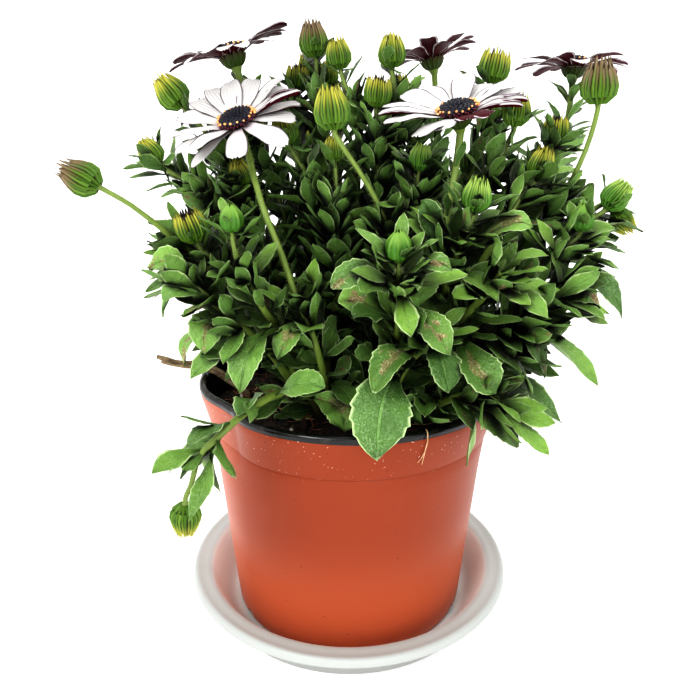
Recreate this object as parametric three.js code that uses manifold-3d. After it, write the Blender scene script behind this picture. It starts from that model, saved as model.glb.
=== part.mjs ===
// Potted osteospermum: leafy stems with buds and five open blooms, in a thin plastic pot on a saucer.
// Millimetres, +Z up. The origin is the centre of the saucer's underside, on the table.
import * as THREE from 'three';
import { mergeVertices } from 'three/addons/utils/BufferGeometryUtils.js';
import Module from 'manifold-3d';

const wasm = await Module();
wasm.setup();

// ---- driving dimensions -------------------------------------------------------------------------

const clearance = 0.3;              // between touching pieces
const ringSteps = 28;               // facets round the pot and the saucer

const saucer = { footR: 67.5, wallTopR: 74, lipR: 81, lipZ: 19.8, lipDrop: 3.6, floorR: 63, thick: 2.2 };
const pot = {
  footR: 58, footZ: saucer.thick + clearance, thick: 1.4, floor: 1.6,
  seamR: 66.2, seamZ: 98, step: 0.5, rimR: 71.3, rimZ: 116.6, rollR: 1.5,
};
// How far the pot's mouth is out of round: angles in degrees from +X.
const mouth = { from: 76, bulge: 0.03, give: 0.7, bulgeAt: 155, dent: 4.5, dentAt: 214, dentWidth: 13 };
const soil = {
  level: 109, slopeX: 0.055, slopeY: -0.05, bump: 1.2, wallTopZ: 97, edgeSunk: 2,
  holeDepth: 8, holeR: 4.8, twigHoleR: 6, holeTopZ: 130,
};

const stem = { rootR: 2.4, tipR: 1.3, sides: 3, pieces: 4, forkAt: 0.34 };
const stalk = { budR: 1, bloomR: 1.35 };
const leafThick = { above: 0.45, below: 0.7 };
const rootShare = 0.6;              // of that thickness, where a blade grows out of its stem
const leafFold = 0.16;              // how far the two halves of a blade rise from the midrib
const goldenAngle = 137.5;          // degrees between one leaf and the next up a stem
const leafy = { from: 0.43, to: 0.99 };   // the share of a stem that bears leaves, unless it says otherwise
const domeR = 80;                   // radius of the leafy dome
// Angles of a small leaf in degrees, and its measures as shares of its length. `loose` is how freely
// it turns from its place, and `looser` what each further try adds.
const habit = {
  seedTurn: 40, loose: 0.5, looser: 0.35, goldenLoose: 90, faceLoose: 36,
  spread: 70, closing: 36, spreadLoose: 22, low: 1.12, fall: 0.35, shortest: 0.85, longer: 0.3,
  slim: 0.4, wider: 0.1, droop: 0.12, droopOut: 0.45, lift: 0.7,
  outward: 0.6, upward: 0.15, bend: 0.48, reach: 0.97, faceAxis: 0.4, faceUp: 0.8, faceOut: 0.3,
};
const smallLeafLength = 24;         // shorter blades have plain edges
const tries = 7;                    // places tested for a leaf before it is left out
// Cubic millimetres that a leaf may share with its own stem, and with another of its leaves.
const graft = { frame: 4, leaf: 0.5 };

// Half outlines of the blades: how far along the midrib, and the half width there.
const toothedLeaf = { side: [[0.24, 0.34], [0.5, 0.86], [0.6, 0.76], [0.77, 1]], rib: [0, 0.6] };
const plainLeaf = { side: [[0.28, 0.42], [0.7, 1]], rib: [0, 0.55] };
const petalShape = {
  widest: 0.62, thick: 0.4, jitter: 0.16, stagger: 5, liftLoose: 4,
  shortest: 0.94, longer: 0.1, rootLow: 0.2, bend: 0.4,
};

// ---- vectors, curves and seeded draws -----------------------------------------------------------

const rad = THREE.MathUtils.degToRad;
const vec = (p) => new THREE.Vector3(...p);
const up = vec([0, 0, 1]);

// One step of a multiplicative congruential generator for each draw, from 0 to 1.
function draws(seed) {
  let state = (seed * 7919 + 101) % 2147483647;
  const next = () => {
    state = state * 16807 % 2147483647;
    return state / 2147483647;
  };
  next();
  next();
  return next;
}

// A point on a uniform Catmull-Rom curve through the points, from 0 to 1.
function spinePoint(points, along) {
  const last = points.length - 1;
  const place = Math.min(along * last, last - 1e-6);
  const i = Math.floor(place);
  const t = place - i;
  const p1 = points[i];
  const p2 = points[i + 1];
  const p0 = i > 0 ? points[i - 1] : p1.clone().multiplyScalar(2).sub(p2);
  const p3 = i + 2 <= last ? points[i + 2] : p2.clone().multiplyScalar(2).sub(p1);
  const weights = [
    -0.5 * t + t * t - 0.5 * t ** 3,
    1 - 2.5 * t * t + 1.5 * t ** 3,
    0.5 * t + 2 * t * t - 1.5 * t ** 3,
    -0.5 * t * t + 0.5 * t ** 3,
  ];
  const sum = new THREE.Vector3();
  [p0, p1, p2, p3].forEach((p, k) => sum.addScaledVector(p, weights[k]));
  return sum;
}

// Two directions square to an axis, the first as near to the hint as it can be.
function squareTo(axis, hint) {
  const first = hint.clone().addScaledVector(axis, -hint.dot(axis)).normalize();
  return [first, axis.clone().cross(first)];
}

// ---- solids -------------------------------------------------------------------------------------

function solidFrom(points, faces) {
  const geometry = new THREE.BufferGeometry();
  const places = points.flatMap((p) => [p.x, p.y, p.z]);
  geometry.setAttribute('position', new THREE.Float32BufferAttribute(places, 3));
  geometry.setIndex(faces.flat());
  const merged = mergeVertices(geometry, 1e-4);
  return new wasm.Manifold(new wasm.Mesh({
    numProp: 3,
    vertProperties: new Float32Array(merged.attributes.position.array),
    triVerts: new Uint32Array(merged.index.array),
  }));
}

const union = (solids) => wasm.Manifold.union(solids);

function geometryOf(solid) {
  const { vertProperties, triVerts } = solid.getMesh();
  const geometry = new THREE.BufferGeometry();
  geometry.setAttribute('position', new THREE.BufferAttribute(vertProperties.slice(), 3));
  geometry.setIndex(new THREE.BufferAttribute(triVerts.slice(), 1));
  return geometry;
}

// Whether a solid is one body, and still closed when its points are merged at 0.001 mm.
function isSound(solid) {
  if (solid.decompose().length !== 1) return false;
  const { array } = mergeVertices(geometryOf(solid), 1e-3).index;
  const edges = new Map();
  for (let n = 0; n < array.length; n += 3) {
    const corners = array.slice(n, n + 3);
    if (new Set(corners).size < 3) continue;
    corners.forEach((a, i) => {
      const b = corners[(i + 1) % 3];
      const edge = `${Math.min(a, b)} ${Math.max(a, b)}`;
      edges.set(edge, (edges.get(edge) ?? 0) + 1);
    });
  }
  return [...edges.values()].every((uses) => uses === 2);
}

function meshOf(name, solid, material) {
  const geometry = geometryOf(solid);
  geometry.computeVertexNormals();
  const mesh = new THREE.Mesh(geometry, material);
  mesh.name = name;
  return mesh;
}

// Rings of points, closed at both ends by a fan on a middle point. A ring has as many points as the
// one before it, or twice as many.
function tubeSolid(rings, lowEnd, highEnd) {
  const points = [...rings.flat(), lowEnd, highEnd];
  const low = points.length - 2;
  const high = points.length - 1;
  const faces = [];
  let a = 0;
  rings[0].forEach((_, i) => faces.push([low, (i + 1) % rings[0].length, i]));
  for (let r = 0; r + 1 < rings.length; r++) {
    const count = rings[r].length;
    const b = a + count;
    const double = rings[r + 1].length > count;
    for (let i = 0; i < count; i++) {
      const j = (i + 1) % count;
      if (double) {
        const after = b + (2 * i + 2) % (2 * count);
        const middle = b + 2 * i + 1;
        faces.push([a + i, middle, middle - 1], [a + i, a + j, middle], [a + j, after, middle]);
      } else {
        faces.push([a + i, a + j, b + j], [a + i, b + j, b + i]);
      }
    }
    a = b;
  }
  const count = rings[rings.length - 1].length;
  for (let i = 0; i < count; i++) faces.push([high, a + i, a + (i + 1) % count]);
  return solidFrom(points, faces);
}

const startAcross = vec([1, 0.2, 0]);

// Stations along a curve: the centre, the axis and two directions square to it that turn as little
// as they can from one station to the next.
function stations(points, pieces) {
  const centres = Array.from({ length: pieces + 1 }, (_, k) => spinePoint(points, k / pieces));
  let across = startAcross;
  return centres.map((centre, k) => {
    const after = k > 0 ? centres[Math.min(k + 1, pieces)] : points[1];
    const axis = after.clone().sub(centres[Math.max(k - 1, 0)]).normalize();
    const [u, v] = squareTo(axis, across);
    across = u;
    return { centre, axis, u, v };
  });
}

const ringAt = ({ centre, u, v }, radius, sides, turn = 0) => Array.from({ length: sides }, (_, i) => {
  const angle = 2 * Math.PI * i / sides + turn;
  return centre.clone().addScaledVector(u, radius * Math.cos(angle))
    .addScaledVector(v, radius * Math.sin(angle));
});

// The curve of a blade's midrib from its root to its tip, bent towards a control point, with the
// face's normal and its sideways direction at each place.
function bladeFrame({ root, control, tip, face }, s) {
  const at = root.clone().multiplyScalar((1 - s) ** 2)
    .addScaledVector(control, 2 * s * (1 - s)).addScaledVector(tip, s * s);
  const along = control.clone().sub(root).multiplyScalar(1 - s)
    .addScaledVector(tip.clone().sub(control), s).normalize();
  const [normal, side] = squareTo(along, face);
  return { at, normal, side };
}

const controlThrough = (root, middle, tip) => middle.clone().multiplyScalar(2)
  .addScaledVector(root, -0.5).addScaledVector(tip, -0.5);

// A thin blade: a sharp toothed edge, and a midrib that stands out above and below it.
function bladeSolid(blade, shape, thick = leafThick, fold = leafFold) {
  const points = [];
  const add = (p) => points.push(p) - 1;
  const half = blade.width / 2;
  const edge = (s, reach, sign) => {
    const { at, normal, side } = bladeFrame(blade, s);
    return add(at.clone().addScaledVector(side, sign * half * reach)
      .addScaledVector(normal, fold * half * reach));
  };
  const tip = add(blade.tip);
  const ribs = { above: [], below: [] };
  for (const s of shape.rib) {
    const { at, normal } = bladeFrame(blade, s);
    const share = s > 0 ? 1 : rootShare;
    ribs.above.push(add(at.clone().addScaledVector(normal, share * thick.above)));
    ribs.below.push(add(at.clone().addScaledVector(normal, -share * thick.below)));
  }
  const faces = [];
  const sides = {};
  for (const sign of [1, -1]) {
    const side = shape.side.map(([s, reach]) => edge(s, reach, sign));
    sides[sign] = side;
    for (const [surface, turn] of [['above', -sign], ['below', sign]]) {
      const rib = ribs[surface];
      let i = 0;
      let j = 0;
      while (i + 1 < rib.length || j + 1 < side.length) {
        const ribNext = i + 1 < rib.length ? shape.rib[i + 1] : 2;
        const sideNext = j + 1 < side.length ? shape.side[j + 1][0] : 2;
        const face = ribNext < sideNext ? [rib[i], side[j], rib[i + 1]] : [rib[i], side[j], side[j + 1]];
        faces.push(turn > 0 ? [face[0], face[2], face[1]] : face);
        if (ribNext < sideNext) i += 1;
        else j += 1;
      }
      const last = [rib[i], side[j], tip];
      faces.push(turn > 0 ? [last[0], last[2], last[1]] : last);
    }
  }
  const [above, below] = [ribs.above[0], ribs.below[0]];
  faces.push([above, below, sides[1][0]], [above, sides[-1][0], below]);
  return solidFrom(points, faces);
}

// ---- saucer, pot and soil -----------------------------------------------------------------------

// How far the pot's mouth is out of round at an angle, as a share of the radius and in millimetres.
function outOfRound(angle, height) {
  const rise = THREE.MathUtils.smoothstep(height, mouth.from, pot.rimZ);
  const turn = THREE.MathUtils.radToDeg(angle);
  const bulge = mouth.bulge * Math.cos(rad(2 * (turn - mouth.bulgeAt)));
  const away = (turn - mouth.dentAt + 540) % 360 - 180;
  const dent = -mouth.dent * rise * Math.exp(-((away / mouth.dentWidth) ** 2));
  return { share: 1 + bulge * rise * mouth.give, dent };
}

// A closed ring of wall from a profile of radius and height, turned round +Z.
function turnedRing(profile, shift) {
  const points = [];
  const faces = [];
  const count = profile.length;
  for (let k = 0; k < ringSteps; k++) {
    const angle = 2 * Math.PI * k / ringSteps;
    for (const [r, z] of profile) {
      const { share, dent } = shift(angle, z);
      const reach = r * share + dent;
      points.push(vec([reach * Math.cos(angle), reach * Math.sin(angle), z]));
    }
  }
  for (let k = 0; k < ringSteps; k++) {
    const a = k * count;
    const b = (k + 1) % ringSteps * count;
    for (let i = 0; i < count; i++) {
      const j = (i + 1) % count;
      faces.push([a + i, b + i, b + j], [a + i, b + j, a + j]);
    }
  }
  return { points, faces };
}

// The same, closed at the axis by a floor from the profile's first point to its last.
function turnedCup(profile, shift) {
  const { points, faces } = turnedRing(profile, shift);
  const count = profile.length;
  const kept = faces.filter((_, n) => Math.floor(n / 2) % count !== count - 1);
  const under = points.push(vec([0, 0, profile[0][1]])) - 1;
  const over = points.push(vec([0, 0, profile[count - 1][1]])) - 1;
  for (let k = 0; k < ringSteps; k++) {
    const a = k * count;
    const b = (k + 1) % ringSteps * count;
    kept.push([under, b, a], [over, a + count - 1, b + count - 1]);
  }
  return solidFrom(points, kept);
}

function saucerSolid() {
  const { footR, wallTopR, lipR, lipZ, lipDrop, floorR, thick } = saucer;
  return turnedCup([
    [footR, 0], [footR + 2.4, 4], [wallTopR, lipZ - 5.5], [lipR - 1.6, lipZ - lipDrop - 0.8],
    [lipR, lipZ - lipDrop + 0.6], [lipR - 0.6, lipZ - 1], [lipR - 3, lipZ], [wallTopR - 1.2, lipZ - 1.2],
    [floorR + 2.6, thick + 2.2], [floorR, thick],
  ], () => ({ share: 1, dent: 0 }));
}

function potSolid() {
  const { footR, footZ, thick, floor, seamR, seamZ, step, rimR, rimZ, rollR } = pot;
  return turnedCup([
    [footR - 2, footZ], [footR, footZ + 2], [seamR, seamZ - 0.4], [seamR + step, seamZ + 0.4],
    [rimR, rimZ], [rimR - 0.1, rimZ + 1.3 * rollR], [rimR - 1.3, rimZ + 2 * rollR],
    [rimR - 2.8, rimZ + 1.7 * rollR], [rimR - thick - 1.8, rimZ - 0.2], [seamR - thick, seamZ],
    [footR - thick, footZ + 3], [footR - thick - 2, footZ + floor],
  ], outOfRound);
}

const soilTop = (x, y) => soil.level + soil.slopeX * x + soil.slopeY * y
  + soil.bump * Math.sin(x * 0.21 + 1) * Math.cos(y * 0.17);

function soilSolid(roots) {
  const inner = (z) => {
    const { footR, footZ, thick, seamR, seamZ, rimR, rimZ } = pot;
    const below = footR - thick + (seamR - footR) * (z - footZ - 3) / (seamZ - footZ - 3);
    const above = seamR - thick + (rimR - seamR - 1.4) * (z - seamZ) / (rimZ - 0.6 - seamZ);
    return (z < seamZ ? below : above) - 3 * clearance;
  };
  const base = pot.footZ + pot.floor + clearance;
  const heights = [base, base + 4, soil.wallTopZ];
  const rings = heights.map((z, k) => {
    const r = k === 0 ? pot.footR - pot.thick - 3 : inner(z);
    return Array.from({ length: ringSteps }, (_, n) => {
      const angle = 2 * Math.PI * n / ringSteps;
      const { share, dent } = outOfRound(angle, z);
      return vec([(r * share + dent) * Math.cos(angle), (r * share + dent) * Math.sin(angle), z]);
    });
  });
  for (const [reach, sunk] of [[1, soil.edgeSunk], [0.5, 0]]) {
    rings.push(Array.from({ length: ringSteps }, (_, n) => {
      const angle = 2 * Math.PI * n / ringSteps;
      const [c, s] = [Math.cos(angle), Math.sin(angle)];
      const near = reach * inner(pot.seamZ);
      const z = soilTop(near * c, near * s) - sunk;
      const { share, dent } = outOfRound(angle, z);
      const r = reach * (inner(z) * share + dent);
      return vec([r * c, r * s, z]);
    }));
  }
  let solid = tubeSolid(rings, vec([0, 0, base]), vec([0, 0, soilTop(0, 0)]));
  for (const { at, r } of roots) {
    const ring = (z) => Array.from({ length: stem.sides }, (_, n) => {
      const angle = 2 * Math.PI * n / stem.sides + Math.atan2(startAcross.y, startAcross.x);
      return vec([at[0] + r * Math.cos(angle), at[1] + r * Math.sin(angle), z]);
    });
    const floorZ = at[2] - clearance;
    const top = soil.holeTopZ;
    const hole = tubeSolid([ring(floorZ), ring(top)], vec([at[0], at[1], floorZ]), vec([at[0], at[1], top]));
    solid = solid.subtract(hole);
  }
  return solid;
}

// ---- buds and blooms ----------------------------------------------------------------------------

// Height and radius of the rings of a closed bud, as shares of its own radius. Every second bract
// stands out, and at the top every second tip stands up, in a crown.
const budRings = [[-0.6, 0.8], [0.25, 1], [1.22, 0.54]];
const budLow = 1.05;                // from the stalk's end to the middle of a bud, by the same share
const crownLift = 0.22;

function budRingPoints(centre, axis, u, v, radius) {
  return budRings.map(([height, reach], k) => Array.from({ length: 2 * stem.sides }, (_, i) => {
    const angle = Math.PI * i / stem.sides;
    const odd = i % 2;
    const r = radius * reach * (odd ? 1.05 : 0.9);
    const lift = k === budRings.length - 1 ? crownLift * (odd ? 1 : -1) : 0;
    return centre.clone().addScaledVector(axis, radius * (height + lift))
      .addScaledVector(u, r * Math.cos(angle)).addScaledVector(v, r * Math.sin(angle));
  }));
}

// Heights above a bloom's centre along its axis, and radii.
const head = {
  cupTop: -1, cupR: 5.6, ringLow: -0.7, ringHigh: 0.3, ringR: 5.8, discLow: 0.6, discR: 8.2, discHigh: 4.8,
};
const cupRings = [[-5.5, 3.4], [head.cupTop, head.cupR]];      // the green cup of bracts under a bloom

// The domed disc, its florets in relief.
function discSolid(centre, axis) {
  const sides = 12;
  const [u, v] = squareTo(axis, vec([0.3, -1, 0.2]));
  const ripple = 0.06;
  const rings = [[head.discLow, 5.2], [2.4, head.discR], [4, 6.4]].map(([height, r], k) => {
    const middle = centre.clone().addScaledVector(axis, height);
    const ring = ringAt({ centre: middle, u, v }, r, sides);
    return ring.map((p, i) => p.lerp(middle, (i + k) % 2 ? ripple : -ripple));
  });
  const low = centre.clone().addScaledVector(axis, head.discLow);
  const high = centre.clone().addScaledVector(axis, head.discHigh);
  return tubeSolid(rings, low, high);
}

// Where the ray petals of a bloom lie: two overlapping layers round a thin ring.
function rayPetals({ centre, axis, petals, reach, width, raise, sag, seed }) {
  const c = vec(centre);
  const [u, v] = squareTo(axis, vec([0.3, -1, 0.2]));
  const next = draws(seed);
  const p = petalShape;
  return Array.from({ length: petals }, (_, i) => {
    const angle = 2 * Math.PI * (i + p.jitter * (next() - 0.5)) / petals;
    const out = u.clone().multiplyScalar(Math.cos(angle)).addScaledVector(v, Math.sin(angle));
    const lift = rad(raise + (i % 2 ? p.stagger : -p.stagger) + p.liftLoose * (next() - 0.5));
    const length = reach * (p.shortest + p.longer * next()) - head.ringR;
    const root = c.clone().addScaledVector(out, head.ringR).addScaledVector(axis, -p.rootLow);
    const along = out.clone().multiplyScalar(Math.cos(lift)).addScaledVector(axis, Math.sin(lift));
    const tip = root.clone().addScaledVector(along, length).addScaledVector(axis, -sag);
    const control = root.clone().addScaledVector(along, length * 0.5).addScaledVector(axis, p.bend * sag);
    return { root, control, tip, face: axis, width };
  });
}

// The ring and its petals as one skin: each petal grows from one side of the ring.
function raysSolid(bloom) {
  const petals = rayPetals(bloom);
  const { axis } = bloom;
  const c = vec(bloom.centre);
  const [u, v] = squareTo(axis, vec([0.3, -1, 0.2]));
  const count = petals.length;
  const points = [];
  const faces = [];
  const middles = [head.ringLow, head.ringHigh].map((height) => c.clone().addScaledVector(axis, height));
  for (const centre of middles) points.push(...ringAt({ centre, u, v }, head.ringR, count, -Math.PI / count));
  const low = points.push(middles[0]) - 1;
  const high = points.push(middles[1]) - 1;
  petals.forEach((petal, i) => {
    const j = (i + 1) % count;
    const [lowRight, lowLeft, highRight, highLeft] = [i, j, count + i, count + j];
    faces.push([low, lowLeft, lowRight], [high, highRight, highLeft]);
    const wide = bladeFrame(petal, petalShape.widest);
    const half = petal.width / 2;
    const left = points.push(wide.at.clone().addScaledVector(wide.side, -half)) - 1;
    const right = points.push(wide.at.clone().addScaledVector(wide.side, half)) - 1;
    const above = points.push(wide.at.clone().addScaledVector(wide.normal, petalShape.thick)) - 1;
    const below = points.push(wide.at.clone().addScaledVector(wide.normal, -petalShape.thick)) - 1;
    const tip = points.push(petal.tip) - 1;
    faces.push([highRight, right, above], [highRight, above, highLeft], [highLeft, above, left]);
    faces.push([lowRight, below, right], [lowRight, lowLeft, below], [lowLeft, left, below]);
    faces.push([highRight, lowRight, right], [highLeft, left, lowLeft]);
    faces.push([above, right, tip], [above, tip, left], [below, tip, right], [below, left, tip]);
  });
  return solidFrom(points, faces);
}

const blooms = [
  { name: 'front_left', centre: [-46, -16, 237.5], tilt: [-0.25, -0.5, 0.83], petals: 16,
    reach: 30, width: 8, raise: 2, sag: 2, seed: 11 },
  { name: 'front_right', centre: [42, -34, 241.3], tilt: [-0.2, -0.28, 0.94], petals: 17,
    reach: 30.5, width: 7.5, raise: 10, sag: 2.5, seed: 12 },
  { name: 'back_left', centre: [-51.8, 16, 265], tilt: [-0.3, 0.1, 0.95], petals: 15,
    reach: 27, width: 7.6, raise: 8, sag: 1.5, seed: 13 },
  { name: 'back_right', centre: [42, 67, 266], tilt: [-0.2, 0.12, 0.97], petals: 14,
    reach: 25, width: 7.4, raise: 16, sag: 1, seed: 14 },
  { name: 'right', centre: [111.7, 57, 261.8], tilt: [0.02, 0.1, 0.99], petals: 15,
    reach: 28, width: 7.8, raise: 6, sag: 2.5, seed: 15 },
].map((bloom) => ({ ...bloom, axis: vec(bloom.tilt).normalize() }));

// ---- leafy stems --------------------------------------------------------------------------------

// Each plant stands at a root point in the soil. A shoot runs from the root through its points. Its
// leaves sit on the upper part, and a stalk may go on from its tip to a bud or a bloom.
const plants = [
  { name: 'side_branch', root: [-14, -28], shoots: [
    { points: [[-20, -44, 130], [-34, -66, 134], [-46, -80, 129], [-56, -85, 120]],
      leaves: 6, length: 28, from: 0.62,
      bud: { stalk: [[-60, -86, 108], [-63, -85, 101]], size: 5.6, facing: [-0.05, 0, -1] } }] },
  { name: 'front_left', root: [-7, -17], shoots: [
    { points: [[-10, -36, 130], [-15, -47, 155], [-20, -48, 168]], leaves: 7, length: 30, from: 0.35,
      bloom: { stalk: [[-27, -42, 187], [-35, -35, 206]], name: 'front_left' } }] },
  { name: 'left_front', root: [-24, -16], shoots: [
    { points: [[-27, -40, 150], [-34, -53, 168], [-41, -60, 185]], leaves: 6, length: 26,
      bud: { stalk: [[-43.6, -59.9, 198.1]], size: 4.3, facing: [0, -0.1, 1] } },
    { points: [[-34, -40, 146], [-48, -53, 165], [-60, -55, 178]], leaves: 6, length: 29 }] },
  { name: 'left', root: [-28, -2], shoots: [
    { points: [[-40, -24, 152], [-50, -37, 174], [-56, -42, 185]], leaves: 6, length: 26,
      bud: { stalk: [[-60, -43, 191]], size: 5.8, facing: [-0.3, -0.1, 1] } },
    { points: [[-48, -12, 158], [-60, -26, 180], [-68, -34, 189]], leaves: 6, length: 28,
      bud: { stalk: [[-84.9, -43, 206.8], [-94.2, -46, 213.4]], size: 6.3, facing: [-0.87, 0, 0.49] } }] },
  { name: 'left_back', root: [-26, 12], shoots: [
    { points: [[-42, 2, 160], [-57, -4, 192], [-64, -8, 207]], leaves: 5, length: 28,
      bud: { stalk: [[-80.6, -9, 218.7]], size: 4.9, facing: [-0.58, 0, 0.81] } },
    { points: [[-34, -2, 164], [-42, -6, 190], [-45, -8, 202]], leaves: 5, length: 25,
      bud: { stalk: [[-45.2, -7.7, 209.1]], size: 4.7, facing: [-0.25, -0.2, 0.97] } }] },
  { name: 'back_left', root: [-16, 22], shoots: [
    { points: [[-40, 22, 175], [-52, 15, 212], [-58, 12, 224]], leaves: 5, length: 24,
      bud: { stalk: [[-72.6, 10, 241.5]], size: 6.5, facing: [-0.61, 0, 0.79] } },
    { points: [[-26, 22, 175], [-39, 18, 215], [-43, 16, 232]], leaves: 5, length: 24,
      bloom: { stalk: [[-47, 16, 249]], name: 'back_left' } }] },
  { name: 'centre_left', root: [-9, 2], shoots: [
    { points: [[-14, 2, 160], [-14, 1, 192], [-16, 0, 208]], leaves: 6, length: 28,
      bud: { stalk: [[-26, 0.1, 226.2]], size: 5.4, facing: [-0.27, -0.1, 0.96] } },
    { points: [[-7, -10, 150], [-5, -15, 178], [-5, -10, 198]], leaves: 6, length: 27,
      bud: { stalk: [[-5.9, -6, 219]], size: 4.5, facing: [-0.07, 0, 1] } }] },
  { name: 'centre_right', root: [9, -7], shoots: [
    { points: [[18, -16, 150], [18, -27, 182], [16, -33, 196]], leaves: 6, length: 27,
      bud: { stalk: [[8, -35, 212.9], [-5.5, -37, 233.2]], size: 6.6, facing: [-0.12, 0, 0.99] } },
    { points: [[26, -14, 160], [29, -21, 192], [28, -26, 210]], leaves: 6, length: 27,
      bud: { stalk: [[28.2, -26, 217]], size: 4.5, facing: [0.12, 0, 0.99] } }] },
  { name: 'front', root: [8, -28], shoots: [
    { points: [[18, -52, 150], [18, -76, 176], [17, -86, 190]], leaves: 6, length: 28,
      bud: { stalk: [[16.7, -86.9, 192.6]], size: 4.5, facing: [-0.02, -0.1, 1] } }] },
  { name: 'front_right', root: [20, -18], shoots: [
    { points: [[30, -34, 148], [34, -42, 170], [36, -44, 185]], leaves: 6, length: 26,
      bloom: { stalk: [[39, -42, 206]], name: 'front_right' } },
    { points: [[36, -40, 158], [39, -56, 185], [42, -63, 199]], leaves: 6, length: 28,
      bud: { stalk: [[45.5, -62.9, 206]], size: 5.0, facing: [0.07, -0.1, 1] } }] },
  { name: 'front_fan', root: [14, -42], shoots: [
    { points: [[22, -54, 142], [28, -62, 154], [31, -68, 163]], leaves: 4, length: 28 }] },
  { name: 'right_front', root: [30, -26], shoots: [
    { points: [[42, -44, 155], [50, -62, 174], [55, -69, 186]], leaves: 6, length: 29 },
    { points: [[48, -36, 135], [60, -48, 150], [68, -54, 156]], leaves: 7, length: 31 }] },
  { name: 'right_low', root: [26, -44], shoots: [
    { points: [[38, -54, 128], [50, -64, 136], [58, -68, 134]], leaves: 5, length: 30 }] },
  { name: 'right', root: [26, -4], shoots: [
    { points: [[48, -16, 160], [65, -24, 196], [72, -23, 209]], leaves: 6, length: 28,
      bud: { stalk: [[76.8, -22.9, 214.1]], size: 5.1, facing: [0.25, -0.1, 0.97] } },
    { points: [[42, -6, 165], [56, -12, 203], [61, -14, 217]], leaves: 6, length: 25,
      bud: { stalk: [[68.3, -15, 233.8]], size: 5.5, facing: [0.08, 0, 1] } }] },
  { name: 'right_back', root: [32, 8], shoots: [
    { points: [[56, 6, 165], [80, 8, 204], [88, 9, 219]], leaves: 5, length: 28,
      bud: { stalk: [[91.7, 9, 225.5]], size: 5.3, facing: [0.07, 0, 1] } },
    { points: [[60, -2, 158], [80, -10, 188], [89, -15, 203]], leaves: 5, length: 28,
      bud: { stalk: [[98.2, -17, 225.4], [101.3, -18, 242.3]], size: 6.9, facing: [-0.05, 0, 1] } }] },
  { name: 'right_far', root: [38, -12], shoots: [
    { points: [[66, -20, 150], [86, -24, 180], [99, -24, 197]], leaves: 6, length: 28,
      bud: { stalk: [[106.5, -23, 201.5]], size: 5.5, facing: [0.58, 0, 0.81] } },
    { points: [[62, -32, 148], [77, -46, 178], [84, -50, 192]], leaves: 6, length: 28,
      bud: { stalk: [[88.9, -49.9, 196.7]], size: 4.4, facing: [0.03, -0.1, 1] } },
    { points: [[60, -38, 140], [72, -54, 164], [84, -60, 180]], leaves: 6, length: 29 }] },
  { name: 'back', root: [-4, 16], shoots: [
    { points: [[-12, 30, 175], [-15, 43, 222], [-17, 45, 246]], leaves: 5, length: 23,
      bud: { stalk: [[-16.8, 45, 253.2]], size: 5.4, facing: [-0.24, 0, 0.97] } },
    { points: [[-20, 26, 170], [-25, 36, 222], [-27, 38, 241]], leaves: 5, length: 23,
      bud: { stalk: [[-24.5, 38, 248.2]], size: 5.3, facing: [0.02, 0, 1] } }] },
  { name: 'back_middle', root: [4, 10], shoots: [
    { points: [[-4, 22, 178], [-5, 36, 224], [-7, 41, 240]], leaves: 5, length: 22,
      bud: { stalk: [[-11.2, 41, 250.2]], size: 4.8, facing: [0.16, 0, 0.99] } },
    { points: [[-2, 14, 180], [-10, 20, 228], [-14, 23, 246]], leaves: 5, length: 22,
      bud: { stalk: [[-15, 25, 262.4]], size: 6.2, facing: [-0.12, 0, 0.99] } }] },
  { name: 'back_top', root: [11, 3], shoots: [
    { points: [[4, 6, 178], [4, 9, 228], [2, 12, 242]], leaves: 5, length: 23,
      bud: { stalk: [[-3.5, 13, 256.9]], size: 5.3, facing: [-0.16, 0, 0.99] } },
    { points: [[14, 4, 180], [20, 6, 226], [21, 8, 243]], leaves: 5, length: 23,
      bud: { stalk: [[18.8, 9, 257.4]], size: 5.6, facing: [-0.04, 0, 1] } },
    { points: [[12, -4, 185], [12, -5, 220], [12, -5, 233]], leaves: 5, length: 22,
      bud: { stalk: [[11.5, -4.9, 241.4]], size: 5.5, facing: [0.08, -0.1, 1] } }] },
  { name: 'back_right', root: [16, 16], shoots: [
    { points: [[24, 22, 182], [30, 28, 222], [28, 30, 236]], leaves: 5, length: 23,
      bud: { stalk: [[24, 30, 243.9]], size: 5.0, facing: [-0.12, 0, 0.99] } },
    { points: [[42, 12, 180], [58, 13, 220], [63, 14, 240]], leaves: 5, length: 24,
      bud: { stalk: [[62.8, 14, 251.1]], size: 6.3, facing: [0.16, 0, 0.99] } }] },
  { name: 'back_far', root: [22, 28], shoots: [
    { points: [[34, 42, 178], [45, 62, 224], [45, 65, 238]], leaves: 6, length: 25,
      bloom: { stalk: [], name: 'back_right' } }] },
  { name: 'right_rear', root: [36, 22], shoots: [
    { points: [[66, 34, 170], [96, 50, 205], [106, 54, 220]], leaves: 6, length: 28,
      bloom: { stalk: [[111, 56, 239]], name: 'right' } }] },
  { name: 'rear_left', root: [-28, 30], shoots: [
    { points: [[-46, 42, 150], [-60, 52, 184], [-64, 54, 202]], leaves: 5, length: 28,
      bud: { stalk: [[-66, 56, 214]], size: 5.4, facing: [-0.2, 0.2, 1] } },
    { points: [[-50, 28, 140], [-74, 32, 160], [-84, 32, 174]], leaves: 5, length: 28 }] },
  { name: 'rear', root: [-4, 38], shoots: [
    { points: [[-14, 58, 150], [-20, 76, 184], [-20, 80, 204]], leaves: 5, length: 28,
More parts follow.
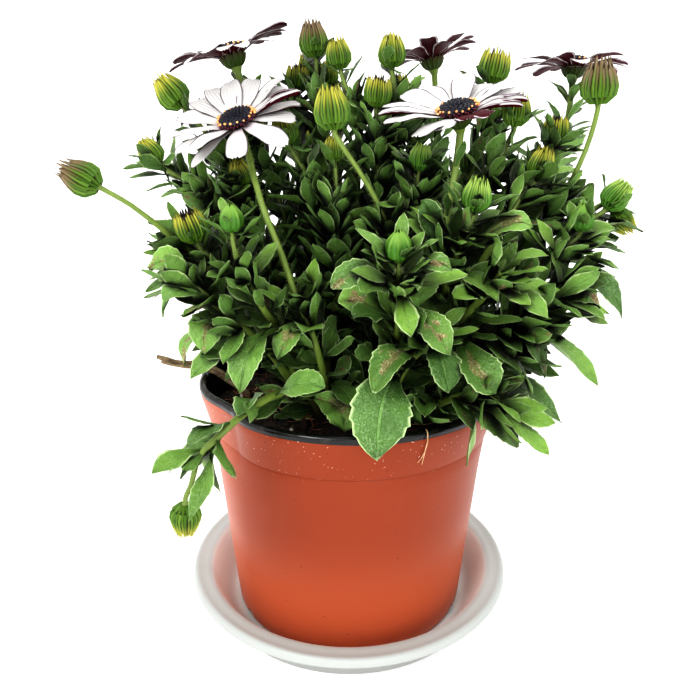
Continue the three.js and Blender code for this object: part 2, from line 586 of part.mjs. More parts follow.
      bud: { stalk: [[-22, 82, 216]], size: 5.6, facing: [-0.1, 0.2, 1] } },
    { points: [[4, 60, 140], [10, 84, 158], [12, 92, 170]], leaves: 5, length: 28 }] },
  { name: 'rear_right', root: [14, 46], shoots: [
    { points: [[36, 60, 150], [50, 78, 182], [54, 82, 198]], leaves: 5, length: 28 },
    { points: [[46, 50, 140], [72, 58, 158], [84, 60, 172]], leaves: 5, length: 28,
      bud: { stalk: [[90, 62, 184]], size: 5.2, facing: [0.4, 0.2, 1] } }] },
];

// Large single leaves: root, middle and tip, the width, and where the upper face looks.
const largeLeaves = [
  { plant: 'front_fan', root: [20, -54, 143], middle: [13, -76, 139], tip: [11, -81, 116],
    width: 22, face: [0, -0.8, 0.6] },
  { plant: 'front_fan', root: [28, -62, 155], middle: [17, -75, 156], tip: [9, -82, 144],
    width: 15, face: [-0.2, -0.6, 0.8] },
  { plant: 'front', root: [18, -76, 177], middle: [26, -89, 174], tip: [35, -94, 163],
    width: 12, face: [0.3, -0.7, 0.6] },
  { plant: 'front_fan', root: [29, -65, 158], middle: [34, -75, 155], tip: [37, -80, 143],
    width: 14, face: [0.1, -0.7, 0.7] },
  { plant: 'right_front', root: [43, -46, 156], middle: [47, -72, 153], tip: [55, -78, 142],
    width: 15, face: [0.2, -0.8, 0.6] },
  { plant: 'front', root: [18, -64, 164], middle: [7, -70, 174], tip: [-4, -76, 177],
    width: 14, face: [0.2, -0.6, 0.8] },
  { plant: 'left_front', root: [-31, -45, 158], middle: [-38, -65, 155], tip: [-42, -71, 139],
    width: 13, face: [-0.2, -0.8, 0.5] },
  { plant: 'left', root: [-43, -27, 157], middle: [-54, -50, 163], tip: [-58, -56, 150],
    width: 15, face: [-0.3, -0.8, 0.5] },
  { plant: 'left', root: [-44, -8, 150], middle: [-64, -36, 154], tip: [-69, -44, 140],
    width: 11, face: [-0.6, -0.6, 0.5] },
  { plant: 'side_branch', root: [-30, -60, 134], middle: [-20, -73, 144], tip: [-9, -79, 145],
    width: 12, face: [0, -0.7, 0.7] },
  { plant: 'front_left', root: [-17, -48, 160], middle: [-23, -58, 160], tip: [-28, -63, 150],
    width: 11, face: [-0.2, -0.8, 0.6] },
  { plant: 'right_low', root: [42, -57, 131], middle: [54, -70, 131], tip: [66, -73, 117],
    width: 14, face: [0.2, -0.6, 0.8] },
  { plant: 'right_low', root: [50, -63, 136], middle: [63, -64, 135], tip: [70, -68, 121],
    width: 14, face: [0.5, -0.6, 0.6] },
  { plant: 'right_front', root: [62, -49, 150], middle: [72, -58, 156], tip: [77, -62, 142],
    width: 10, face: [0.5, -0.6, 0.6] },
  { plant: 'right_far', root: [72, -54, 164], middle: [88, -58, 176], tip: [96, -60, 170],
    width: 12, face: [0.2, -0.7, 0.7] },
  { plant: 'right_far', root: [74, -43, 172], middle: [97, -50, 178], tip: [108, -53, 164],
    width: 11, face: [0.3, -0.5, 0.8] },
  { plant: 'front', root: [18, -76, 176], middle: [5, -84, 189], tip: [-6, -88, 185],
    width: 11, face: [-0.1, -0.6, 0.8] },
  { plant: 'front', root: [18, -84, 187], middle: [26, -93, 195], tip: [34, -95, 193],
    width: 7, face: [0.1, -0.6, 0.8] },
  { plant: 'front_right', root: [36, -49, 173], middle: [32, -60, 200], tip: [26, -61, 211],
    width: 9, face: [-0.2, -0.8, 0.4] },
  { plant: 'front_right', root: [39, -56, 185], middle: [54, -66, 202], tip: [66, -69, 203],
    width: 9, face: [0, -0.5, 0.9] },
  { plant: 'left_front', root: [-58, -55, 176], middle: [-67, -58, 188], tip: [-76, -60, 185],
    width: 11, face: [-0.2, -0.5, 0.8] },
  { plant: 'left_front', root: [-50, -53, 167], middle: [-64, -63, 178], tip: [-71, -65, 168],
    width: 11, face: [-0.4, -0.6, 0.7] },
  { plant: 'side_branch', root: [-19, -42, 128], middle: [-6, -56, 128], tip: [-2, -61, 118],
    width: 14, face: [0, -0.5, 0.8] },
];

// Where every solid already placed stands, so that a leaf that would cross another plant's is found.
const placed = [];

function place(owner, solid, kind = 'frame') {
  placed.push({ owner, solid, kind, box: solid.boundingBox() });
}

function crosses(owner, solid) {
  const box = solid.boundingBox();
  return placed.some((other) => {
    if (![0, 1, 2].every((i) => box.min[i] < other.box.max[i] && other.box.min[i] < box.max[i])) return false;
    const shared = solid.intersect(other.solid);
    return other.owner === owner ? shared.volume() > graft[other.kind] : !shared.isEmpty();
  });
}

// The station a share of the way along a shoot's leafy stem, between two of its rings.
function stationAt(line, share) {
  const place = Math.min(share * stem.pieces, stem.pieces - 1e-6);
  const k = Math.floor(place);
  return { ...line[k], centre: line[k].centre.clone().lerp(line[k + 1].centre, place - k),
    axis: line[k + 1].centre.clone().sub(line[k].centre).normalize() };
}

// The place of one leaf on a shoot, coming out through the middle of one of the stem's faces. Each
// further try turns it further from its first place.
function leafOn(shoot, number, seed, attempt) {
  const next = draws(seed * 1009 + number * 31 + attempt * 7);
  const from = shoot.from ?? leafy.from;
  const share = (number + 0.5) / shoot.leaves;
  const { centre: root, axis, u, v } = stationAt(shoot.line, from + (leafy.to - from) * share);
  const h = habit;
  const loose = h.loose + h.looser * attempt;
  const golden = goldenAngle * number + seed * h.seedTurn + h.goldenLoose * loose * (next() - 0.5);
  const side = 360 / stem.sides;
  const turn = rad(side * (Math.round(golden / side) + 0.5) + h.faceLoose * (next() - 0.5));
  const spread = rad(h.spread - h.closing * share + h.spreadLoose * loose * (next() - 0.5));
  const out = u.clone().multiplyScalar(Math.cos(turn)).addScaledVector(v, Math.sin(turn));
  const outward = vec([root.x, root.y, 0]).divideScalar(domeR);
  const lead = axis.clone().multiplyScalar(Math.cos(spread)).addScaledVector(out, Math.sin(spread));
  const length = shoot.length * (h.low - h.fall * share) * (h.shortest + h.longer * next());
  const width = length * (h.slim + h.wider * next());
  const hang = length * (h.droop + h.droopOut * outward.length()) * (1 - h.lift * share);
  const droop = hang * (0.5 + next());
  const heading = lead.clone().addScaledVector(outward, h.outward).addScaledVector(up, h.upward).normalize();
  const control = root.clone().addScaledVector(lead, length * h.bend);
  const tip = root.clone().addScaledVector(heading, length * h.reach).addScaledVector(up, -droop);
  const face = axis.clone().multiplyScalar(h.faceAxis).addScaledVector(up, h.faceUp)
    .addScaledVector(outward, h.faceOut * (1 + next()));
  return { root, control, tip, face, width };
}

const leafShape = (leaf) => (leaf.tip.distanceTo(leaf.root) > smallLeafLength ? toothedLeaf : plainLeaf);

// The point of a plant's stems that lies nearest to a place.
function nearestStem(plant, place) {
  const steps = Array.from({ length: 41 }, (_, k) => k / 40);
  const along = plant.shoots.flatMap(({ line }) => steps.map((share) => stationAt(line, share).centre));
  return along.reduce((best, p) => (p.distanceTo(place) < best.distanceTo(place) ? p : best));
}

// One shoot from its start to the tip of its bud, or into the cup of its bloom, as one skin.
function shootSolid(shoot, start) {
  const points = [...start, ...shoot.points.map(vec)];
  shoot.line = stations(points, stem.pieces);
  const rings = shoot.line.map((station, k) => ringAt(station,
    stem.rootR + (stem.tipR - stem.rootR) * k / stem.pieces, stem.sides));
  const tip = shoot.line[stem.pieces];
  if (!shoot.bud && !shoot.bloom) {
    return tubeSolid(rings, points[0], tip.centre.clone().addScaledVector(tip.axis, 1));
  }
  const { stalk: bends } = shoot.bud ?? shoot.bloom;
  const bloom = shoot.bloom && blooms.find(({ name }) => name === shoot.bloom.name);
  const axis = bloom ? bloom.axis : vec(shoot.bud.facing).normalize();
  const r = bloom ? stalk.bloomR : stalk.budR;
  const last = bends.length ? vec(bends[bends.length - 1]) : tip.centre.clone().addScaledVector(tip.axis, 2);
  const neck = bloom
    ? vec(bloom.centre).addScaledVector(axis, -8.5)
    : last.clone().addScaledVector(axis, 1.5);
  const onward = [tip.centre, ...bends.map(vec), neck];
  const run = bends.length ? stations(onward, onward.length - 1).slice(1) : [{ ...tip, centre: neck }];
  let { u } = tip;
  for (const station of run) {
    const [across, other] = squareTo(station === run[run.length - 1] ? axis : station.axis, u);
    u = across;
    rings.push(ringAt({ centre: station.centre, u: across, v: other }, r, stem.sides));
  }
  const [across, other] = squareTo(axis, u);
  if (bloom) {
    const c = vec(bloom.centre);
    for (const [height, reach] of cupRings) {
      const centre = c.clone().addScaledVector(axis, height);
      rings.push(ringAt({ centre, u: across, v: other }, reach, 2 * stem.sides));
    }
    return tubeSolid(rings, points[0], c.clone().addScaledVector(axis, head.cupTop));
  }
  const centre = neck.clone().addScaledVector(axis, budLow * shoot.bud.size);
  rings.push(...budRingPoints(centre, axis, across, other, shoot.bud.size));
  return tubeSolid(rings, points[0], centre.clone().addScaledVector(axis, 1.1 * shoot.bud.size));
}

// Stems, stalks, buds and cups first, for every plant, since leaves have to find room round them. A
// plant's first shoot stands in the soil, and the others fork from it.
function framework(plant) {
  const [x, y] = plant.root;
  plant.foot = [x, y, soilTop(x, y) - soil.holeDepth];
  const [main, ...branches] = plant.shoots;
  const solids = [shootSolid(main, [vec(plant.foot), vec([x, y, soilTop(x, y) + 2])])];
  for (const branch of branches) solids.push(shootSolid(branch, [stationAt(main.line, stem.forkAt).centre]));
  plant.body = union(solids);
}

// ---- the model ----------------------------------------------------------------------------------

const finish = (color, roughness) => new THREE.MeshStandardMaterial({ color, roughness, metalness: 0 });
const materials = {
  saucer: finish(0xe2e1da, 0.45),
  pot: finish(0xc25434, 0.5),
  soil: finish(0x2c211c, 0.95),
  foliage: finish(0x3f7030, 0.6),
  petals: finish(0xf6f4f2, 0.55),
  disc: finish(0x231c33, 0.7),
  twig: finish(0x8a6446, 0.85),
};

const group = new THREE.Group();
const add = (name, solid, material) => group.add(meshOf(name, solid, material));

const potBody = potSolid();
add('saucer', saucerSolid(), materials.saucer);
add('pot', potBody, materials.pot);
place('pot', potBody);

for (const bloom of blooms) {
  const centre = vec(bloom.centre);
  const rays = raysSolid(bloom);
  const disc = discSolid(centre, bloom.axis);
  add(`petals_${bloom.name}`, rays, materials.petals);
  add(`disc_${bloom.name}`, disc, materials.disc);
  place(`petals_${bloom.name}`, rays);
  place(`disc_${bloom.name}`, disc);
}

plants.forEach(framework);
const twigFoot = [-52, 6, soilTop(-52, 6) - soil.holeDepth];
const twigPoints = [
  twigFoot, [-52, 6, twigFoot[2] + 10], [-68, 3, 123], [-82, 0, 126], [-93, 0, 128],
].map(vec);
const twigLine = stations(twigPoints, 6);
const twigRings = twigLine.map((station, k) => ringAt(station, 1.9 - 0.1 * k, 5));
const twigSolid = tubeSolid(twigRings, twigPoints[0], twigPoints[4]);
place('twig', twigSolid);

const roots = plants.map((plant) => ({ at: plant.foot, r: soil.holeR }));
const soilBody = soilSolid([...roots, { at: twigFoot, r: soil.twigHoleR }]);
place('soil', soilBody);
plants.forEach((plant) => place(plant.name, plant.body));

// Joins a leaf to its plant if it finds room there.
function grows(plant, leaf, shape) {
  const solid = bladeSolid(leaf, shape);
  if (solid.volume() <= 0 || crosses(plant.name, solid)) return false;
  const grown = union([plant.body, solid]);
  if (!isSound(grown)) return false;
  plant.body = grown;
  place(plant.name, solid, 'leaf');
  return true;
}

for (const large of largeLeaves) {
  const plant = plants.find(({ name }) => name === large.plant);
  const [middle, tip] = [large.middle, large.tip].map(vec);
  const root = nearestStem(plant, vec(large.root));
  const control = controlThrough(root, middle, tip);
  grows(plant, { root, control, tip, face: vec(large.face), width: large.width }, toothedLeaf);
}

let shootNumber = 0;
for (const plant of plants) {
  for (const shoot of plant.shoots) {
    shootNumber += 1;
    for (let number = 0; number < shoot.leaves; number++) {
      for (let attempt = 0; attempt < tries; attempt++) {
        const leaf = leafOn(shoot, number, shootNumber, attempt);
        if (grows(plant, leaf, leafShape(leaf))) break;
      }
    }
  }
}

plants.forEach((plant) => add(`stems_${plant.name}`, plant.body, materials.foliage));
add('soil', soilBody, materials.soil);
add('twig', twigSolid, materials.twig);

export default group;
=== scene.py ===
import math

import bpy
import numpy as np
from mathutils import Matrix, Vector, kdtree


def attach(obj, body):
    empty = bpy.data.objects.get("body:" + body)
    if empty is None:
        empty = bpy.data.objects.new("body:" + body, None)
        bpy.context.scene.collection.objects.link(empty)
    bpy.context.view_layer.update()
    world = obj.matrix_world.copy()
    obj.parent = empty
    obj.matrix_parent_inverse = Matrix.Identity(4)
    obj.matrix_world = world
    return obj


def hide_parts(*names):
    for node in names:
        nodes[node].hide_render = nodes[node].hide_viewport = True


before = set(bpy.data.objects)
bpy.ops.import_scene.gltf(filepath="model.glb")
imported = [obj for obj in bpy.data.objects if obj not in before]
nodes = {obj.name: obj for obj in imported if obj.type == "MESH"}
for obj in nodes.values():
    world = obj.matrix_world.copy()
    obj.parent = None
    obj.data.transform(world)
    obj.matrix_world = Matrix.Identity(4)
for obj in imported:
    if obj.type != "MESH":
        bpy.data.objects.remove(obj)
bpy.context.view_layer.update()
mm = 0.001
offAxis = 0.02  # a profile's distance from the axis at its ends


def vec(*parts):
    return np.array(parts[0] if len(parts) == 1 else parts, float)


def unit(v):
    return v / np.linalg.norm(v)


def smoothStep(x, low, high):
    t = np.clip((x - low) / (high - low), 0, 1)
    return t * t * (3 - 2 * t)


# Numbers between 0 and 1, the same ones each time for the same seed.
def draws(seed):
    state = (seed * 7919 + 101) % 2147483647

    def step():
        nonlocal state
        state = state * 16807 % 2147483647
        return state / 2147483647
    step()
    step()
    return step


up = vec(0, 0, 1)
startAcross = vec(1, 0.2, 0)


# The place at a share of the way along a smooth line through points.
def spinePoint(points, along):
    last = len(points) - 1
    place = min(along * last, last - 1e-6)
    i = int(place)
    t = place - i
    p1, p2 = points[i], points[i + 1]
    p0 = points[i - 1] if i > 0 else 2 * p1 - p2
    p3 = points[i + 2] if i + 2 <= last else 2 * p2 - p1
    return ((-0.5 * t + t * t - 0.5 * t ** 3) * p0 + (1 - 2.5 * t * t + 1.5 * t ** 3) * p1
            + (0.5 * t + 2 * t * t - 1.5 * t ** 3) * p2 + (-0.5 * t * t + 0.5 * t ** 3) * p3)


def squareTo(axis, hint):
    first = unit(hint - axis * hint.dot(axis))
    return first, np.cross(axis, first)


# A direction that leans away from the first one towards the second, which is square to it.
def leaning(first, second, angle):
    return first * math.cos(angle) + second * math.sin(angle)


def polar(reach, angle):
    return reach * math.cos(angle), reach * math.sin(angle)


# Even steps along a smooth line, each with its axis and two directions square to it.
def stations(points, pieces):
    centres = [spinePoint(points, k / pieces) for k in range(pieces + 1)]
    across = startAcross
    line = []
    for k, centre in enumerate(centres):
        after = centres[min(k + 1, pieces)] if k else points[1]
        axis = unit(after - centres[max(k - 1, 0)])
        across, other = squareTo(axis, across)
        line.append(dict(centre=centre, axis=axis, u=across, v=other))
    return line


def stationAt(line, share):
    pieces = len(line) - 1
    place = min(share * pieces, pieces - 1e-6)
    k = int(place)
    step = line[k + 1]["centre"] - line[k]["centre"]
    return dict(line[k], centre=line[k]["centre"] + step * (place - k), axis=unit(step))


def activate(thing):
    bpy.ops.object.select_all(action="DESELECT")
    thing.select_set(True)
    bpy.context.view_layer.objects.active = thing


def editMode(on):
    bpy.ops.object.mode_set(mode="EDIT" if on else "OBJECT")


# Selects what passes a test of its place, and leaves the piece in edit mode.
def pick(thing, kind, test):
    editMode(True)
    bpy.ops.mesh.select_mode(type={"vertices": "VERT", "edges": "EDGE", "polygons": "FACE"}[kind])
    bpy.ops.mesh.select_all(action="DESELECT")
    editMode(False)
    verts = thing.data.vertices
    for item in getattr(thing.data, kind):
        if kind == "vertices":
            item.select = bool(test(item.co))
        elif kind == "edges":
            item.select = bool(test(verts[item.vertices[0]].co, verts[item.vertices[1]].co))
        else:
            item.select = bool(test(item.center, item.normal))
    editMode(True)


def modified(thing, kind, **settings):
    activate(thing)
    modifier = thing.modifiers.new(kind.lower(), kind)
    for key, value in settings.items():
        setattr(modifier, key, value)
    bpy.ops.object.modifier_apply(modifier=modifier.name)


def smoothed(thing, angle=None):
    activate(thing)
    if angle is None:
        bpy.ops.object.shade_smooth()
    else:
        bpy.ops.object.shade_smooth_by_angle(angle=math.radians(angle))


# Names a piece, hangs it under the root and hides the CAD nodes that it stands for. The slot of its material
# is not used.
def finished(thing, name, slot, *replaced):
    thing.name = thing.data.name = name
    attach(thing, "root")
    if replaced:
        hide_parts(*replaced)


# A bar of many sides, drawn out ring after ring: each row gives the height and the two half widths.
def drawnOut(sides, rows):
    z, rx, ry = rows[0]
    bpy.ops.mesh.primitive_circle_add(vertices=sides, radius=1, fill_type="NGON", location=(0, 0, z))
    thing = bpy.context.object
    bpy.ops.object.transform_apply(location=True)
    editMode(True)
    bpy.ops.mesh.select_all(action="SELECT")
    bpy.ops.transform.resize(value=(rx, ry, 1), center_override=(0, 0, z))
    for (z0, rx0, ry0), (z1, rx1, ry1) in zip(rows, rows[1:]):
        bpy.ops.mesh.extrude_region_move(TRANSFORM_OT_translate={"value": (0, 0, z1 - z0)})
        bpy.ops.transform.resize(value=(rx1 / rx0, ry1 / ry0, 1), center_override=(0, 0, z1))
    bpy.ops.mesh.select_all(action="SELECT")
    bpy.ops.mesh.normals_make_consistent(inside=False)
    editMode(False)
    return thing


# A profile of radius and height, drawn by extruding a point, then spun round the upright axis. It
# starts and ends just off the axis, and is closed there at the end.
def turned(profile, steps):
    bpy.ops.mesh.primitive_plane_add(size=0.002)
    thing = bpy.context.object
    pick(thing, "vertices", lambda co: not (co.x > 0 and co.y > 0))
    bpy.ops.mesh.delete(type="VERT")
    bpy.ops.mesh.select_all(action="SELECT")
    at = vec(0.001, 0.001, 0)
    for n, (r, z) in enumerate(profile):
        place = vec(r * mm, 0, z * mm)
        move = {"value": tuple(place - at)}
        if n:
            bpy.ops.mesh.extrude_vertices_move(TRANSFORM_OT_translate=move)
        else:
            bpy.ops.transform.translate(**move)
        at = place
    bpy.ops.mesh.select_all(action="SELECT")
    bpy.ops.mesh.spin(steps=steps, angle=2 * math.pi, center=(0, 0, 0), axis=(0, 0, 1))
    bpy.ops.mesh.select_all(action="SELECT")
    bpy.ops.mesh.remove_doubles(threshold=2e-6)
    bpy.ops.mesh.normals_make_consistent(inside=False)
    editMode(False)
    pick(thing, "vertices", lambda co: co.x ** 2 + co.y ** 2 < 1e-8)
    bpy.ops.mesh.remove_doubles(threshold=1e-4)
    editMode(False)
    return thing


# What a modelled template holds, so that copies of it can be bent into place. A face below has 4
# added to its place across, so that its paint can tell it from a face above.
def templateOf(thing, uvOf=None, span=1.0):
    data = thing.data
    points = np.empty(len(data.vertices) * 3)
    data.vertices.foreach_get("co", points)
    points = points.reshape(-1, 3)
    faces = [tuple(face.vertices) for face in data.polygons]
    under = [face.normal.z < 0 for face in data.polygons]
    uvs = []
    for face, low in zip(faces, under):
        for n in face:
            x, y = (points[n][0] * span, points[n][1]) if uvOf is None else uvOf(points[n])
            uvs.append((x + (4 if low and uvOf is None else 0), y))
    bpy.data.objects.remove(thing)
    return dict(points=points, faces=faces, uvs=uvs)


# Copies gathered into one mesh. Each has its own points, a tint of three numbers and a material.
def newBatch():
    return dict(points=[], faces=[], uvs=[], tints=[], slots=[], count=0)


def addCopy(batch, template, points, tint=(0, 0, 0), slot=0):
    first = batch["count"]
    batch["points"].append(points)
    batch["faces"] += [tuple(first + n for n in face) for face in template["faces"]]
    batch["uvs"] += template["uvs"]
    if np.ndim(tint) == 1:
        tint = np.tile(tint, (len(points), 1))
    batch["tints"].append(tint)
    batch["slots"] += [slot] * len(template["faces"])
    batch["count"] += len(points)


def batchObject(batch, materials, angle):
    mesh = bpy.data.meshes.new("batch")
    mesh.from_pydata(np.vstack(batch["points"]) * mm, [], batch["faces"])
    for material in materials:
        mesh.materials.append(material)
    mesh.polygons.foreach_set("material_index", batch["slots"])
    layer = mesh.uv_layers.new(name="leafMap")
    layer.data.foreach_set("uv", np.array(batch["uvs"], np.float32).ravel())
    tint = mesh.attributes.new("tint", "FLOAT_COLOR", "POINT")
    rgb = np.vstack(batch["tints"])
    tint.data.foreach_set("color", np.hstack([rgb, np.ones((len(rgb), 1))]).astype(np.float32).ravel())
    mesh.update()
    thing = bpy.data.objects.new("batch", mesh)
    bpy.context.scene.collection.objects.link(thing)
    smoothed(thing, angle)
    return thing


# A colour as a picker shows it, from 0 to 255, made linear.
def linear(rgb):
    return tuple((c / 255 / 12.92) if c <= 10 else ((c / 255 + 0.055) / 1.055) ** 2.4 for c in rgb) + (1,)


# One material's node tree, with short ways to add and join its nodes. A value is a number or what
# another node gives, and a colour may also be three numbers from 0 to 255.
class Paint:
    def __init__(self, name, roughness=0.5, **uniform):
        self.material = bpy.data.materials.new(name)
        self.material.use_nodes = True
        self.tree = self.material.node_tree
        self.shader = self.tree.nodes["Principled BSDF"]
        self.shader.inputs["Roughness"].default_value = roughness
        for key, value in uniform.items():
            self.shader.inputs[key].default_value = value

    def node(self, kind, **settings):
        made = self.tree.nodes.new("ShaderNode" + kind)
        for key, value in settings.items():
            setattr(made, key, value)
        return made

    def put(self, value, socket):
        if hasattr(value, "is_output"):
            self.tree.links.new(value, socket)
        else:
            socket.default_value = value

    def math(self, kind, a, b=0.0, c=0.0):
        made = self.node("Math", operation=kind)
        for value, socket in zip((a, b, c), made.inputs):
            self.put(value, socket)
        return made.outputs[0]

    def times(self, a, b):
        return self.math("MULTIPLY", a, b)

    # A number without its sign.
    def size(self, value):
        return self.math("ABSOLUTE", value)

    def place(self):
        return self.node("TexCoord").outputs["Object"]

    # How far a place lies from the upright axis.
    def reach(self, x, y):
        return self.math("SQRT", self.math("ADD", self.times(x, x), self.times(y, y)))

    def stretched(self, place, scale):
        mapping = self.node("Mapping")
        mapping.inputs["Scale"].default_value = scale
        self.put(place, mapping.inputs["Vector"])
        return mapping.outputs[0]

    def noise(self, scale, detail, rough=0.5, stretch=None):
        made = self.node("TexNoise")
        made.inputs["Scale"].default_value = scale
        made.inputs["Detail"].default_value = detail
        made.inputs["Roughness"].default_value = rough
        place = self.place()
        self.put(self.stretched(place, stretch) if stretch else place, made.inputs["Vector"])
        return made.outputs["Fac"]

    def ramp(self, value, low, high):
        made = self.node("MapRange", interpolation_type="SMOOTHSTEP")
        self.put(value, made.inputs["Value"])
        made.inputs["From Min"].default_value = low
        made.inputs["From Max"].default_value = high
        return made.outputs[0]

    def mix(self, share, a, b):
        made = self.node("Mix", data_type="RGBA")
        for value, n in ((share, 0), (a, 6), (b, 7)):
            self.put(linear(value) if isinstance(value, tuple) else value, made.inputs[n])
        return made.outputs[2]

    # A second colour laid over the first where the mask is, at a given strength.
    def over(self, colour, mask, strength, second):
        return self.mix(self.times(mask, strength), colour, second)

    def split(self, vector):
        made = self.node("SeparateXYZ")
        self.put(vector, made.inputs[0])
        return made.outputs

    def tint(self):
        return self.split(self.node("Attribute", attribute_name="tint").outputs["Color"])

    # The map of a blade, the place along it and across it, and whether it is a face below.
    def onBlade(self):
        uv = self.node("UVMap", uv_map="leafMap").outputs[0]
        u, v, _ = self.split(uv)
        under = self.math("GREATER_THAN", u, 2)
        return uv, v, self.math("SUBTRACT", u, self.times(under, 4)), under

    def bump(self, height, distance, strength, before=None):
        made = self.node("Bump")
        made.inputs["Strength"].default_value = strength
        made.inputs["Distance"].default_value = distance
        self.put(height, made.inputs["Height"])
        if before:
            self.put(before, made.inputs["Normal"])
        return made.outputs[0]

    # Painted shade: the colour goes dark in the gaps between crowded pieces, where they shut out the light.
    def paintedGapShade(self, colour, reach, shadeColour, low=0.12, high=0.72):
        near = self.node("AmbientOcclusion", samples=4)
        near.inputs["Distance"].default_value = reach
        return self.mix(self.ramp(near.outputs["AO"], low, high), shadeColour, colour)

    def done(self, colour, normal=None, roughness=None):
        self.put(colour, self.shader.inputs["Base Color"])
        if normal:
            self.put(normal, self.shader.inputs["Normal"])
        if roughness is not None:
            self.put(roughness, self.shader.inputs["Roughness"])
        return self.material


print("helpers ready", flush=True)


saucer = dict(footR=67.5, wallTopR=74, lipR=81, lipZ=19.8, lipDrop=3.6, floorR=63, thick=2.2, steps=128)


# Points of a profile on an arc round a middle.
def arc(r, z, size, start, end, count):
    angles = [math.radians(start + (end - start) * n / (count - 1)) for n in range(count)]
    return [(r + size * math.cos(a), z + size * math.sin(a)) for a in angles]


def saucerPaint():
    paint = Paint("saucer plastic", roughness=0.42)
    x, y, z = paint.split(paint.place())
    radius = paint.reach(x, y)
    colour = paint.mix(paint.noise(18, 3), (174, 177, 174), (169, 172, 169))
    # Painted light: the inner wall and floor are lighter, to make up for the shade that the pot and the lip
    # cast there.
    inside = paint.times(paint.ramp(radius, 0.073, 0.07), paint.ramp(z, 0.0015, 0.0025))
    colour = paint.mix(inside, colour, (228, 230, 228))
    # Painted shade: the outer wall under the lip is darker, for the shade it stands in. Its mask follows its
    # slope, so that it leaves out the inner wall.
    flare = paint.math("MULTIPLY_ADD", z, -0.52, radius)
    outside = paint.times(paint.ramp(flare, 0.064, 0.066), paint.ramp(z, 0.0148, 0.0138))
    colour = paint.mix(outside, colour, (148, 149, 146))
    worn = paint.ramp(paint.noise(60, 4, stretch=(1, 1, 0.4)), 0.62, 0.8)
    normal = paint.bump(paint.noise(420, 3), 0.00008, 0.35)
    return paint.done(paint.over(colour, worn, 0.35, (156, 156, 152)), normal)


def makeSaucer():
    foot, wall, edge, floor = (saucer[key] for key in ("footR", "wallTopR", "lipR", "floorR"))
    top, thick = saucer["lipZ"], saucer["thick"]
    low = top - saucer["lipDrop"]
    profile = [(offAxis, 0.5), (foot - 6, 0.5), (foot - 5, 0), (foot - 0.6, 0), (foot, 0.4), (foot + 2.4, 4),
               (wall + 0.8, top - 6.4), (edge - 2.6, low - 1.3), (edge - 1.2, low - 0.9)]
    profile += arc(edge - 1.2, low + 0.4, 1.2, -70, 10, 5)  # the bead under the lip
    profile += arc(edge - 2.4, top - 2, 1.9, 15, 95, 6)  # the lip
    profile += [(edge - 3.6, top - 0.35), (edge - 4.6, top - 0.5), (wall + 0.4, top - 0.5),
                (wall - 1.2, top - 0.35), (wall - 2.6, top - 0.9), (wall - 3.8, top - 2.4),
                (floor + 3.9, thick + 9.6), (floor + 0.8, thick + 3.9), (floor - 1.2, thick + 1.4),
                (floor - 3, thick + 0.3), (floor - 4.8, thick), (offAxis, thick)]
    dish = turned(profile, saucer["steps"])
    dish.data.materials.append(saucerPaint())
    smoothed(dish, 40)
    finished(dish, "saucerDish", "saucer", "saucer")


makeSaucer()
print("saucer", flush=True)


pot = dict(footR=58, footZ=2.5, thick=1.4, floor=1.6, seamR=66.2, seamZ=98, step=0.5, rimR=71.3, rimZ=116.6,
           rollR=1.75, rollRise=1.35, steps=144, notches=6, notchAt=32, notchR=3.2, wallRows=14)
# The mouth isn't quite round: it bulges, and a dent with a crease beside it runs down from the rim.
mouth = dict(bulge=0.03, bulgeAt=155, dent=4.5, dentAt=214, dentWidth=13, crease=0.7, creaseAt=6,
             creaseWidth=2.5, depth=22)


# At an angle and a height: a share of the radius, and how far the wall is pressed in.
def outOfRound(angle, height):
    rise = smoothStep(height, pot["seamZ"] - mouth["depth"], pot["rimZ"])
    turn = np.degrees(angle)
    bulge = mouth["bulge"] * np.cos(np.radians(2 * (turn - mouth["bulgeAt"])))
    away = (turn - mouth["dentAt"] + 540) % 360 - 180
    dent = -mouth["dent"] * rise * np.exp(-((away / mouth["dentWidth"]) ** 2))
    dent = dent - mouth["crease"] * rise * np.exp(-(((away - mouth["creaseAt"]) / mouth["creaseWidth"]) ** 2))
    return 1 + 0.7 * bulge * rise, dent


def pressedOutOfRound(thing):
    for vertex in thing.data.vertices:
        angle = math.atan2(vertex.co.y, vertex.co.x) % (2 * math.pi)
        share, dent = outOfRound(angle, vertex.co.z / mm)
        r = math.hypot(vertex.co.x, vertex.co.y)
        if r > 10 * mm:
            reach = r * share + dent * mm
            vertex.co.x *= reach / r
            vertex.co.y *= reach / r


def potPaint():
    paint = Paint("terracotta plastic", roughness=0.38, **{"Specular IOR Level": 0.22})
    x, y, z = paint.split(paint.place())
    colour = paint.mix(paint.noise(14, 3), (132, 57, 31), (142, 65, 37))
    # Painted light: the lower part is lighter, to make up for the shade that falls there.
    colour = paint.over(colour, paint.ramp(z, 0.07, 0.0), 0.9, (184, 96, 64))
    # Painted highlight: the left side is paler, for the white light it reflects.
    colour = paint.over(colour, paint.ramp(x, -0.045, -0.064), 0.35, (232, 150, 128))
    specks = paint.ramp(paint.noise(900, 1), 0.735, 0.76)
    colour = paint.over(colour, specks, paint.ramp(z, 0.092, 0.112), (228, 196, 180))
    dirt = paint.ramp(paint.noise(520, 1, stretch=(1.3, 1, 1)), 0.76, 0.79)
    colour = paint.over(colour, dirt, 0.7, (92, 36, 26))
    scratch = paint.ramp(paint.noise(90, 2, stretch=(1, 1, 14)), 0.68, 0.74)
    rough = paint.math("MULTIPLY_ADD", scratch, 0.18, 0.36)
    return paint.done(colour, paint.bump(paint.noise(700, 2), 0.00005, 0.3), rough)


def blackPaint():
    paint = Paint("black plastic", roughness=0.24)
    dust = paint.ramp(paint.noise(160, 5), 0.52, 0.78)
    colour = paint.over((17, 17, 18), dust, 0.5, (66, 58, 52))
    rough = paint.math("MULTIPLY_ADD", dust, 0.45, 0.22)
    return paint.done(colour, paint.bump(paint.noise(300, 2), 0.0001, 0.3), rough)


